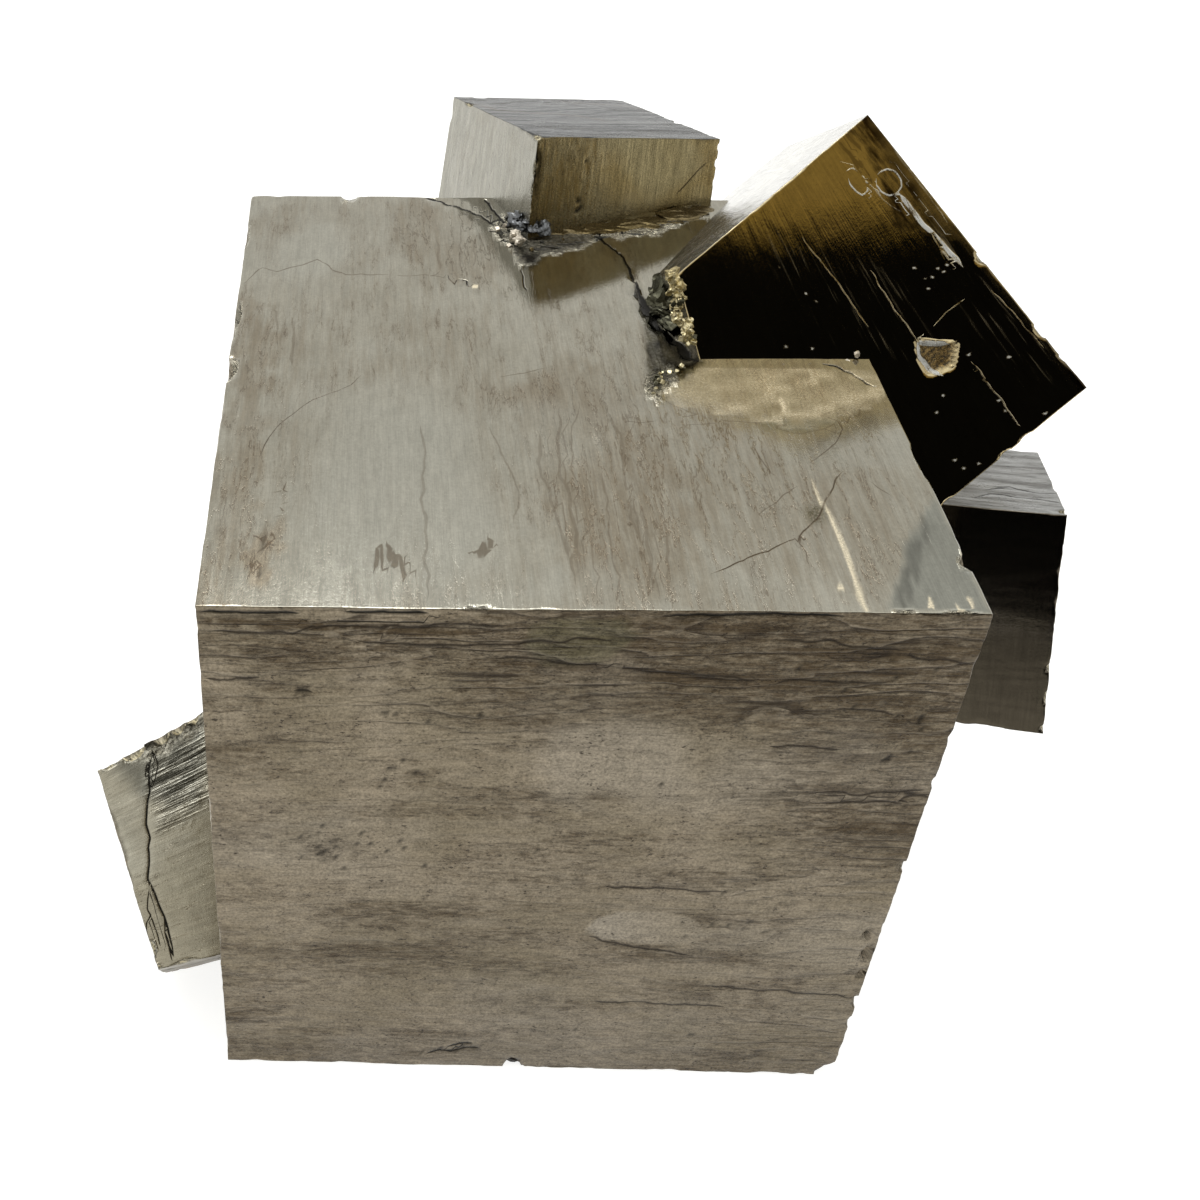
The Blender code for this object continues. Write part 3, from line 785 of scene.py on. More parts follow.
LOOKS = {
    "large_top": look(base=(0.345, 0.328, 0.27), base_2=(0.385, 0.37, 0.31),
                      brown=(0.25, 0.217, 0.162), pale=(0.41, 0.405, 0.35),
                      line_colour=(0.11, 0.08, 0.05), wet=(0.235, 0.24, 0.21), patchy=0.12,
                      striae=0.07, grain=0.09, threads=0.06, line=0.3, rough=0.06,
                      rough_vary=0.02, bump_striae=0.07, bump_threads=0.04, bump_grain=0.06,
                      speck_from=0.74, ragged=0.1, ragged_grain=(1.6, 0.16),
                      ragged_depth=0.3, mottle=0.07, mottle_grain=(1.4, 0.4),
                      veins=0.7, vein_grain=(0.75, 0.14), vein_width=0.018, bump_veins=0.1,
                      # The rust colours here are both the rust spot and the painted reflection in
                      # GAP_SHADE
                      fresh=(0.42, 0.39, 0.30), rust=(0.075, 0.066, 0.034),
                      rust_2=(0.13, 0.118, 0.065), crisp=0.05),
    # The front's base is darker than the top's: painted shade, standing in for the darker
    # surroundings that the front mirrors, on top of its tarnish
    "large_front": look(base=(0.178, 0.148, 0.102), base_2=(0.215, 0.18, 0.13),
                        brown=(0.068, 0.05, 0.03), pale=(0.25, 0.22, 0.174),
                        line_colour=(0.022, 0.016, 0.011), patchy=0.3, rough=0.34, grain=0.45,
                        striae=0.1, threads=0.07, line=0.9, speck_from=0.66, soft=0.45,
                        bump_grain=0.4, mottle=0.2, mottle_grain=(1.5, 0.85), ragged=0.05,
                        ragged_grain=(2.7, 0.8), ragged_depth=0.42, halo=0.3, pitted=0.8,
                        veins=0.35, vein_grain=(1.1, 0.16), vein_width=0.016,
                        fresh=(0.32, 0.27, 0.2)),
    "large_side": look(base=(0.30, 0.26, 0.19), base_2=(0.36, 0.32, 0.25),
                       brown=(0.15, 0.115, 0.075), pale=(0.42, 0.39, 0.32),
                       line_colour=(0.035, 0.026, 0.018), patchy=0.4, rough=0.3, grain=0.22,
                       striae=0.2, threads=0.12, line=0.9, speck_from=0.67,
                       fresh=(0.32, 0.28, 0.21)),
    "upper_front": look(base=(0.155, 0.12, 0.056), base_2=(0.20, 0.168, 0.098),
                        brown=(0.15, 0.107, 0.042), pale=(0.22, 0.205, 0.135), rough=0.24,
                        line_colour=(0.03, 0.02, 0.01), striae=0.16, threads=0.06, grain=0.12,
                        ragged=0.1, patchy=0.4),
    "upper_side": look(base=(0.27, 0.261, 0.222), base_2=(0.30, 0.29, 0.25), rough=0.24,
                       brown=(0.19, 0.165, 0.12), pale=(0.34, 0.33, 0.29), patchy=0.25,
                       grain=0.12),
    "upper_top": look(base=(0.06, 0.062, 0.064), base_2=(0.085, 0.087, 0.086), striae=0.4,
                      brown=(0.025, 0.024, 0.02), pale=(0.19, 0.19, 0.185), rough=0.2,
                      edge=(0.68, 0.68, 0.68),
                      threads=0.3, line=0.7, veins=0.6, ragged_grain=(2.0, 0.2)),
    # brown here is also the dark of the painted reflection in BAND_SHADE
    "tilted_front": look(base=(0.46, 0.38, 0.22), base_2=(0.50, 0.41, 0.24), rough=0.035,
                         pale=(0.46, 0.38, 0.22), cream=(0.50, 0.50, 0.47), scratch=0.2,
                         rough_vary=0.01, speck_from=0.9, line=0.0, patchy=0.0, veins=0.0,
                         bump_veins=0.0, ragged_depth=0.3,
                         brown=(0.035, 0.024, 0.014), bump_striae=0.05, bump_grain=0.03,
                         bump_threads=0.03, fresh=(0.28, 0.19, 0.075)),
    "tilted_top": look(base=(0.44, 0.43, 0.40), base_2=(0.52, 0.51, 0.48), rough=0.2,
                       brown=(0.10, 0.10, 0.09), wet=(0.12, 0.12, 0.11)),
    "right_top": look(base=(0.20, 0.20, 0.19), base_2=(0.27, 0.27, 0.255), patchy=0.5,
                      brown=(0.09, 0.085, 0.075), ragged=0.1, ragged_grain=(2.2, 0.3),
                      line_colour=(0.02, 0.018, 0.014), rough=0.3, line=0.9, veins=0.7,
                      grain=0.2),
    "right_front": look(base=(0.095, 0.081, 0.06), base_2=(0.102, 0.088, 0.067), rough=0.1,
                        rough_vary=0.02, patchy=0.0, line=0.0, bump_grain=0.05, veins=0.0,
                        bump_veins=0.0, brown=(0.066, 0.056, 0.04), ragged_depth=0.1,
                        bump_striae=0.03, bump_threads=0.02, speck_from=0.9,
                        fresh=(0.4, 0.37, 0.3)),
    "left_front": look(base=(0.255, 0.232, 0.175), base_2=(0.29, 0.268, 0.205),
                       brown=(0.17, 0.15, 0.11), pale=(0.42, 0.41, 0.35), streaky=1.0,
                       rust=(0.018, 0.018, 0.014), rust_2=(0.42, 0.41, 0.35),
                       wet=(0.085, 0.085, 0.072), rough=0.26, fresh=(0.5, 0.48, 0.40)),
    "left_side": look(base=(0.15, 0.135, 0.10), base_2=(0.18, 0.165, 0.13), rough=0.4),
    "crust_grey": look(base=(0.035, 0.034, 0.03), base_2=(0.09, 0.085, 0.072), rough=0.4,
                       brown=(0.012, 0.011, 0.008), patchy=0.6, grain=0.4),
    "crust_strip": look(base=(0.115, 0.088, 0.04), base_2=(0.155, 0.125, 0.07), rough=0.28,
                        brown=(0.05, 0.035, 0.014), patchy=0.4, grain=0.25, rough_vary=0.06),
    "crust_olive": look(base=(0.05, 0.05, 0.035), base_2=(0.13, 0.125, 0.085), rough=0.35,
                        brown=(0.012, 0.012, 0.009), patchy=0.7, grain=0.5),
    "crust_gold": look(base=(0.50, 0.43, 0.25), base_2=(0.66, 0.59, 0.38), rough=0.3,
                       brown=(0.18, 0.13, 0.05), patchy=0.5, grain=0.3),
    "crust_pale": look(base=(0.50, 0.455, 0.38), base_2=(0.62, 0.57, 0.49), rough=0.55,
                       brown=(0.2, 0.17, 0.13), patchy=0.4, grain=0.3),
    "crust_blue": look(base=(0.07, 0.073, 0.077), base_2=(0.16, 0.165, 0.17), rough=0.3,
                       brown=(0.02, 0.02, 0.02), patchy=0.5, grain=0.4),
    # A painted shadow: the dark lump in the base notch
    "crust_dark": look(base=(0.012, 0.011, 0.009), base_2=(0.02, 0.018, 0.015), rough=0.6),
    "plain": look(base=(0.26, 0.24, 0.185), base_2=(0.31, 0.285, 0.225)),
}


# The room that the faces reflect
SOUTH = (0.55, 0.53, 0.47)
NORTH = (1.25, 1.25, 1.22)
UPPER_WALLS = (0.92, 0.91, 0.88)
CEILING = (1.35, 1.35, 1.32)
WARM_PART = (0.33, 0.242, 0.083)
DIM_PART = (0.004, 0.004, 0.004)
WHITE = (1.0, 1.0, 1.0)


def add_world():
    world = bpy.data.worlds.new("room")
    bpy.context.scene.world = world
    world.use_nodes = True
    world.node_tree.nodes.clear()
    graph = Graph(world.node_tree)
    direction = graph.node("ShaderNodeTexCoord").outputs["Generated"]
    east, north, height = graph.parts(direction)
    room = graph.mix(graph.ramp(north, -0.3, 0.5), SOUTH, NORTH)
    room = graph.mix(graph.ramp(height, 0.1, 0.42), room, UPPER_WALLS)
    room = graph.mix(graph.ramp(height, 0.60, 0.85), room, CEILING)
    # A dim part of the room, behind the camera, with a warm one above it
    facing = graph.ramp(north, -0.28, -0.5)
    beside = graph.times(graph.ramp(east, 0.03, 0.12), graph.ramp(east, 0.58, 0.48))
    beside = graph.times(facing, beside)
    warm = graph.times(beside, graph.ramp(height, 0.74, 0.60))
    dim = graph.times(beside, graph.ramp(height, 0.5255, 0.5195))
    low = graph.times(facing, graph.ramp(height, 0.20, 0.12))
    room = graph.mix(warm, room, WARM_PART)
    room = graph.mix(dim, room, DIM_PART)
    room = graph.mix(low, room, DIM_PART)
    seen = graph.node("ShaderNodeLightPath").outputs["Is Camera Ray"]
    background = graph.node("ShaderNodeBackground")
    graph.feed(background.inputs["Color"], graph.mix(seen, room, WHITE))
    graph.feed(graph.node("ShaderNodeOutputWorld").inputs["Surface"], background.outputs[0])


FLOOR_RADIUS = 0.4
FLOOR_DROP = 0.00002        # keeps the floor clear of the specimen's base


def add_floor():
    bpy.ops.mesh.primitive_circle_add(vertices=128, radius=FLOOR_RADIUS, fill_type="NGON")
    floor = bpy.context.active_object
    floor.name = "floor"
    floor.location.z = -FLOOR_DROP
    material = bpy.data.materials.new("floor")
    material.use_nodes = True
    shader = material.node_tree.nodes["Principled BSDF"]
    shader.inputs["Base Color"].default_value = (0.42, 0.42, 0.415, 1.0)
    shader.inputs["Emission Color"].default_value = (1.0, 1.0, 0.99, 1.0)
    shader.inputs["Emission Strength"].default_value = 0.79
    shader.inputs["Roughness"].default_value = 0.95
    shader.inputs["Specular IOR Level"].default_value = 0.1
    floor.data.materials.append(material)


def add_light(name, place, size, power):
    data = bpy.data.lights.new(name, "AREA")
    data.shape = "SQUARE"
    data.size = size
    data.energy = power
    light = bpy.data.objects.new(name, data)
    light.location = place
    light.rotation_euler = (-Vector(place)).to_track_quat("-Z", "Y").to_euler()
    bpy.context.scene.collection.objects.link(light)


def material_set(piece, names, upright):
    """One material for each face, in the order of FACES."""
    for face, (_, _, across, up) in FACES.items():
        name = names.get(face, names["rest"])
        streak = up if face in upright else across
        piece.data.materials.append(pyrite(f"{piece.name}_{face}", LOOKS[name], streak))


# Marks of the large cube's top face, in pixels
STEP_LINE = ((243, 285), (261, 267), (277, 270), (296, 266), (318, 259), (345, 274), (391, 275))
STEP_LINE_2 = ((391, 275), (436, 276), (462, 285), (476, 290))
STEP_CHIP = ((447, 279), (456, 283), (466, 283), (474, 288))
HAIRLINE = ((257, 460), (269, 436), (284, 420), (312, 400), (350, 386), (363, 373))
TOP_VEINS = (
    ((580, 400), (570, 432), (573, 471), (583, 496), (592, 541), (599, 605)),
    ((608, 410), (621, 445), (627, 493), (640, 545)),
    ((538, 429), (538, 464), (551, 496), (567, 544), (576, 589)),
    ((490, 423), (498, 445), (511, 471), (519, 499), (514, 525)),
    ((420, 420), (426, 458), (423, 496), (428, 541), (426, 601)),
    ((560, 410), (556, 440), (562, 480), (574, 520), (580, 570)),
    ((600, 470), (608, 505), (612, 550), (622, 600)),
    ((276, 309), (276, 330)),
    ((291, 317), (293, 365)),
    ((461, 225), (462, 270)),
    ((474, 238), (474, 266)),
    ((437, 240), (440, 270)),
    ((610, 413), (625, 451), (633, 497)),
    ((662, 520), (668, 560), (670, 600)),
    ((640, 500), (650, 560), (648, 600)),
)
MAIN_CRACK = ((707, 576), (758, 554), (796, 537), (818, 516), (827, 494), (844, 468))
SIDE_CRACKS = (
    ((809, 464), (830, 448), (840, 432), (851, 419)),
    ((756, 516), (776, 502), (799, 485)),
    ((754, 446), (763, 464), (774, 477)),
    ((796, 538), (805, 553), (809, 566)),
    ((625, 422), (656, 421)),
    ((684, 425), (722, 423)),
    ((500, 378), (520, 373), (545, 366)),
    ((866, 480), (880, 490), (893, 497)),
)
RUST_SPOT = (817, 514)
CREAM_STREAK = (
    (808, 477), (814, 479), (824, 500), (836, 518), (850, 550), (863, 586), (872, 612),
    (862, 614), (852, 586), (840, 550), (826, 518), (816, 500),
)
LENS_RIM = (
    (655, 395), (668, 382), (700, 366), (870, 366), (890, 385), (885, 405), (845, 420),
    (824, 429), (801, 434), (779, 429), (763, 423), (727, 420), (702, 415), (675, 408),
)
LENS_STRIPES = (
    ((779, 419), (809, 414), (842, 405), (868, 394)),
    ((735, 408), (775, 390), (820, 377)),
)
LENS_DARK = ((775, 424), (795, 428), (818, 424))
LENS_ARCS = (
    ((655, 397), (690, 412), (727, 421), (763, 423), (779, 429), (801, 434), (824, 429),
     (845, 420), (880, 408)),
    ((765, 422), (790, 417), (820, 415), (850, 405)),
    ((845, 420), (858, 410), (866, 400)),
)
CORNER_PATCH = (
    (936, 500), (927, 506), (921, 522), (906, 543), (903, 563), (898, 584), (890, 608),
    (990, 614), (950, 530),
)
CORNER_SMUDGE = (
    (922, 520), (933, 528), (926, 552), (917, 572), (911, 590), (903, 605), (893, 603),
    (899, 584), (904, 562), (907, 542),
)
SMUDGE_SPOTS = ((925, 530), (916, 548), (913, 563), (907, 580), (902, 594))
TOP_BROWN_ZONES = (
    ((240, 288), (262, 300), (285, 330), (272, 400), (262, 480), (240, 560), (218, 614),
     (190, 614), (222, 420)),
    ((500, 395), (530, 470), (552, 560), (560, 614), (720, 614), (700, 480), (640, 400),
     (560, 350)),
    ((430, 196), (490, 226), (515, 300), (470, 292), (430, 270), (380, 262), (390, 200)),
    ((330, 330), (480, 300), (530, 400), (470, 430), (400, 390), (340, 400)),
    ((250, 200), (290, 200), (300, 240), (262, 262), (245, 250)),
)
TOP_RIGHT_PART = ((660, 300), (560, 380), (560, 614), (991, 614), (870, 364))
# A painted reflection: the broad pale sheen near the top's front-left
TOP_REFLECTION_SPOT = (390, 500)
PALE_REAR = (310, 250)
TOP_BROWN_SHARES = (0.75, 0.7, 0.6, 0.4, 0.5)
WHITE_SPOTS = ((931, 604), (966, 598), (974, 603), (842, 588), (784, 405), (958, 606))
PITTED_STAIN = ((265, 539), (262, 548), (256, 561), (260, 572), (270, 536))
PITTED_STROKES = (
    ((257, 535), (263, 540), (270, 536)), ((262, 543), (268, 548)), ((272, 530), (275, 541)),
    ((255, 558), (262, 566)), ((250, 562), (252, 574)), ((259, 572), (256, 579)),
    ((283, 487), (286, 492)), ((279, 507), (284, 512)), ((287, 481), (289, 487)),
)
PAW_STROKES = (
    ((376, 552), (379, 560), (377, 571)), ((377, 547), (385, 555), (393, 560)),
    ((388, 542), (391, 553), (395, 566)), ((384, 553), (392, 557), (402, 556)),
    ((396, 553), (402, 558), (405, 568)), ((403, 562), (404, 582)), ((390, 560), (394, 568)),
    ((472, 554), (480, 556), (487, 551)), ((477, 550), (484, 547), (490, 549)),
    ((485, 554), (489, 546), (491, 539)), ((479, 546), (482, 542)),
)
SLIVER_CRACK = ((822, 364), (838, 367), (852, 374), (872, 386))
TOP_DOTS = (
    (481, 320), (487, 345), (482, 330), (506, 366), (560, 338), (276, 280), (345, 542),
    (404, 475), (411, 500), (415, 466), (510, 379), (495, 424), (676, 505), (330, 560),
    (650, 330), (612, 330), (625, 340), (357, 392), (470, 410),
)
BACK_CRACKS = (
    ((418, 196), (432, 199), (452, 205), (470, 211), (486, 219), (500, 228)),
    ((481, 197), (488, 203), (493, 210), (507, 226)),
)
GAP_CRACK = ((598, 232), (609, 246), (622, 257), (630, 268), (637, 286))
GAP = ((632, 283), (643, 298), (652, 318), (668, 336), (690, 355), (703, 362))
DARK_PIT = (529, 259)
PIT_TAIL = ((520, 266), (523, 276), (527, 290))
# A crevice beside the tilted cube: painted reflection of its side and painted shade
GAP_SHADE = (
    (640, 300), (646, 350), (653, 397), (668, 383), (705, 364), (690, 340), (664, 300),
)
SEAM_SHADE = ((503, 232), (518, 262), (531, 270), (546, 257), (600, 240), (560, 232), (530, 226))
GRANULAR = ((660, 382), (654, 392), (672, 376))
RUBBLE_STRIP = (
    (495, 226), (505, 240), (516, 252), (524, 266), (545, 256), (580, 246), (606, 239),
    (660, 232), (706, 214), (700, 204), (640, 220), (560, 226), (515, 208),
)

# Marks of its front face, in pixels
UNDER_EDGE = (
    ((200, 612), (225, 613), (300, 614)), ((343, 612), (390, 614), (430, 613)),
    ((659, 617), (740, 615), (848, 617)), ((915, 613), (940, 614), (988, 615)),
)
STRONG_LINES = (
    ((201, 633), (294, 633), (310, 628), (426, 626), (464, 622), (513, 626)),
    ((349, 641), (437, 644), (519, 643), (620, 637)),
    ((489, 658), (524, 658), (560, 663), (620, 665)),
    ((600, 668), (660, 671), (760, 680)),
    ((773, 640), (820, 642), (870, 648), (905, 652)),
    ((860, 658), (920, 657), (977, 664)),
    ((772, 682), (830, 681), (890, 684)),
    ((291, 691), (313, 691)),
    ((205, 678), (234, 680), (260, 678)),
    ((834, 711), (865, 709), (895, 713)),
    ((768, 748), (800, 747), (840, 750)),
    ((812, 792), (870, 795), (925, 792)),
    ((820, 803), (860, 802), (905, 805)),
    ((600, 887), (660, 890), (725, 891)),
    ((582, 936), (620, 944), (650, 949), (690, 955)),
    ((700, 985), (760, 990), (858, 997)),
    ((590, 1000), (650, 1004), (730, 1007)),
    ((900, 800), (915, 797), (928, 799)),
)
FAINT_LINES = (
    ((340, 701), (400, 703), (480, 700)), ((250, 669), (270, 667)),
    ((460, 845), (540, 843), (620, 846)), ((750, 790), (770, 789), (790, 792)),
    ((760, 1023), (780, 1021), (800, 1024)), ((850, 824), (880, 823), (905, 826)),
    ((640, 660), (700, 655), (780, 660)), ((520, 700), (600, 696), (700, 700)),
    ((230, 742), (290, 740), (350, 743)), ((560, 870), (640, 872), (700, 868)),
    ((330, 870), (400, 866), (450, 869)), ((300, 905), (380, 902), (470, 905)),
    ((720, 760), (790, 764), (850, 760)), ((260, 960), (340, 957), (420, 960)),
    ((380, 800), (440, 802), (520, 806)), ((690, 1035), (760, 1040), (830, 1038)),
)
OLIVE_LENS = ((530, 628), (560, 618), (620, 622), (640, 640), (600, 662), (545, 664), (522, 646))
PALE_LENS = (
    (584, 930), (598, 918), (618, 912), (655, 911), (690, 918), (712, 935), (690, 945),
    (640, 943), (600, 938),
)
# A painted highlight: the soft pale reflection on the front face
HAZY_HIGHLIGHT = (622, 762)
NOTCH_SHADE = (513, 1066)
BROWN_SPOTS = (
    ((417, 775), (1.6, 0.7)), ((480, 812), (7.0, 0.9)), ((590, 838), (5.5, 0.8)),
    ((330, 850), (3.0, 1.1)), ((700, 878), (5.0, 0.9)), ((520, 1000), (4.0, 0.9)),
    ((420, 1040), (4.0, 0.8)), ((760, 985), (5.0, 0.8)), ((870, 650), (5.0, 1.2)),
    ((700, 676), (5.5, 1.0)), ((560, 745), (4.5, 0.6)), ((300, 690), (3.0, 0.5)),
    ((840, 745), (5.0, 0.9)), ((860, 800), (4.0, 1.0)), ((380, 925), (5.0, 0.7)),
    ((500, 935), (4.0, 0.7)),
)
DARK_BANDS = (
    ((690, 677), (6.5, 0.75)), ((560, 666), (5.0, 0.4)), ((870, 654), (7.0, 0.5)),
    ((850, 672), (6.0, 0.3)), ((640, 640), (6.0, 0.3)), ((720, 628), (7.0, 0.4)),
    ((280, 624), (5.0, 0.35)), ((420, 632), (5.0, 0.3)), ((860, 758), (3.5, 0.4)),
    ((870, 700), (5.0, 0.35)), ((850, 790), (4.5, 0.35)), ((860, 830), (4.0, 0.3)),
)
FRONT_SPOTS = (
    ((303, 691), 0.5), ((385, 712), 0.35), ((921, 719), 0.4), ((921, 730), 0.3),
    ((909, 751), 0.3), ((887, 760), 0.3), ((662, 784), 0.25), ((725, 892), 0.35),
    ((765, 932), 0.25), ((749, 923), 0.2), ((691, 1035), 0.3), ((474, 1049), 0.35),
    ((455, 1051), 0.3), ((440, 1048), 0.25), ((420, 1052), 0.25), ((462, 1046), 0.25),
    ((295, 845), 0.2), ((310, 838), 0.2), ((325, 852), 0.25), ((300, 858), 0.2),
    ((390, 768), 0.3), ((417, 772), 0.35), ((341, 853), 0.2),
)
PIT_FIELD_SEED = 19
PIT_FIELDS = (      # the middle and spread in pixels, and how many pits
    ((310, 838), (20, 9), 34), ((345, 855), (26, 10), 30), ((395, 852), (20, 12), 22),
    ((290, 690), (26, 6), 14), ((905, 760), (24, 16), 24), ((870, 690), (50, 14), 26),
    ((420, 775), (26, 10), 16), ((740, 925), (36, 12), 18), ((620, 870), (60, 12), 20),
    ((620, 1000), (120, 22), 26), ((480, 735), (60, 20), 16),
)
BASE_STROKES = (
    ((426, 1053), (440, 1050), (452, 1052), (466, 1048), (480, 1049)),
    ((448, 1047), (462, 1044), (474, 1045)),
)


def aged(skin, salt, cracks=5):
    """Patches, pits and hairlines in repeatable random places."""
    rng = np.random.default_rng(skin.seed + salt)
    low = np.array([skin.across.min(), skin.up.min()])
    span = np.array([skin.across.max(), skin.up.max()]) - low
    for _ in range(7):
        centre = low + span * rng.random(2)
        reach = np.array([0.16, 0.03]) * span * (0.4 + rng.random())
        skin.tint("brown", skin.blob(centre, reach), 0.8)
    for _ in range(cracks):
        spot = low + span * rng.random(2)
        way = rng.normal(size=2)
        way /= np.linalg.norm(way)
        spots = [spot]
        for _ in range(4):
            way += 0.5 * rng.normal(size=2)
            way /= np.linalg.norm(way)
            spots.append(spots[-1] + way * span.mean() * 0.06)
        skin.draw(np.array(spots), 0.05, 0.8, depth=0.05)
    skin.scatter_pits(12, 0.3, 0.08, salt)


def large_top(skin):
    plain_skin(skin, along_across=False, spacing=1.9, step=0.006, lines=0.3, swell=0.035,
               grit=0.002, waver=0.4)
    skin.brown = np.clip(0.25 + 0.3 * skin.noise(3.0, 14.0, 3, salt=31), 0.0, 0.5)
    for corners, share in zip(TOP_BROWN_ZONES, TOP_BROWN_SHARES):
        skin.tint("brown", skin.zone(corners, 1.6, 1.2), share)
    skin.tint("brown", skin.zone(TOP_RIGHT_PART, 4.0), 0.5)
    # Painted reflection: the broad pale sheen on the top
    skin.tint("pale", skin.patch(TOP_REFLECTION_SPOT, (7.0, 12.0)), 0.7)
    skin.tint("pale", skin.patch(PALE_REAR, (3.0, 5.0)), 0.6)
    skin.line(STEP_LINE, 0.06, 0.45, depth=0.04, wander=0.25)
    skin.line(STEP_LINE_2, 0.05, 0.4, depth=0.04, wander=0.25)
    for spot in STEP_CHIP:
        skin.tint("dust", skin.patch(spot, (0.62, 0.26), -8.0, 0.8), 0.62)
    skin.draw(skin.at(*STEP_CHIP) + (0.0, 0.4), 0.07, 0.9, depth=0.03, wander=0.25)
    skin.draw(skin.at(*STEP_CHIP[:3]) - (0.0, 0.5), 0.05, 0.8, depth=0.02, wander=0.25)
    skin.line(HAIRLINE, 0.035, 0.6, depth=0.03)
    for number, vein in enumerate(TOP_VEINS):
        skin.line(vein, 0.06 + 0.03 * (number % 3), 0.3, depth=0.01, wander=0.22)
    skin.line(MAIN_CRACK, 0.05, 0.62, depth=0.03, wander=0.18)
    for crack in SIDE_CRACKS:
        skin.line(crack, 0.035, 0.5, depth=0.02, wander=0.18)
    skin.tint("rust", skin.patch(RUST_SPOT, (0.8, 1.0), warp=0.5), 0.9)
    skin.tint("dust", skin.zone(CREAM_STREAK, 0.22, 0.1), 0.5)
    lens = skin.zone(LENS_RIM, 0.2, 0.12)
    skin.tint("dust", lens * (0.36 + 0.07 * skin.noise(2.5, 1.0, 3, salt=51)))
    for stripe in LENS_STRIPES:
        for spot in skin.at(*stripe):
            skin.tint("dust", skin.blob(spot, (2.2, 0.6), 25.0, 0.4), 0.42)
    for spot in skin.at(*LENS_DARK):
        skin.tint("wet", skin.blob(spot, (1.5, 0.55), 8.0, 0.2), 0.8)
    for arc in LENS_ARCS:
        skin.line(arc, 0.05, 0.35, depth=0.02)
    patch = skin.zone(CORNER_PATCH, 0.2, 0.15)
    skin.tint("wet", patch, 0.8)
    skin.brown *= 1.0 - patch
    smudge = skin.zone(CORNER_SMUDGE, 0.45, 0.3)
    skin.tint("dark", smudge * np.clip(0.12 + 0.2 * skin.noise(0.35, 3.0, 3, salt=61), 0.0, 1.0))
    for number, spot in enumerate(SMUDGE_SPOTS):
        skin.tint("dark", skin.patch(spot, (0.24, 1.5), -9.0, 0.5, 41 + number), 0.4)
    for spot in WHITE_SPOTS:
        skin.tint("dust", skin.patch(spot, (0.3, 0.8), warp=0.5), 0.5)
    for spot in PITTED_STAIN:
        skin.tint("brown", skin.patch(spot, (0.9, 1.5), warp=0.6), 1.0)
        skin.pit_at(spot, 0.2, 0.004, 0.45)
    for stroke in PITTED_STROKES:
        skin.line(stroke, 0.07, 0.5)
    for stroke in PAW_STROKES:
        skin.line(stroke, 0.17, 0.46, wander=0.25)
    for spot in TOP_DOTS:
        skin.pit_at(spot, 0.1, 0.004, 0.5)
    for crack in BACK_CRACKS:
        skin.line(crack, 0.13, 1.0, depth=0.12, wander=0.3)
    skin.line(PIT_TAIL, 0.05, 0.9, depth=0.02, wander=0.3)
    # Painted reflection and shade in the crevice beside the tilted cube
    shade = skin.zone(GAP_SHADE, 0.25, 0.2)
    skin.tint("rust", shade, 0.95)
    skin.tint("dark", shade * np.clip(0.5 + 0.4 * skin.noise(0.6, 0.6, 3, salt=66), 0.0, 1.0))
    skin.tint("dark", skin.zone(SEAM_SHADE, 0.25, 0.25), 0.55)
    skin.line(GAP_CRACK, 0.12, 1.0, depth=0.12, wander=0.25)
    skin.line(GAP, 0.40, 1.0, depth=0.25, wander=0.35)
    skin.line(SLIVER_CRACK, 0.12, 1.0, depth=0.1, wander=0.1)
    skin.tint("dark", skin.patch(DARK_PIT, (0.9, 1.0), warp=0.5))
    for spot in GRANULAR:
        skin.tint("rubble", skin.patch(spot, (0.5, 1.2), warp=0.5))
    skin.tint("rubble", skin.zone(RUBBLE_STRIP, 0.4, 0.4), 0.8)


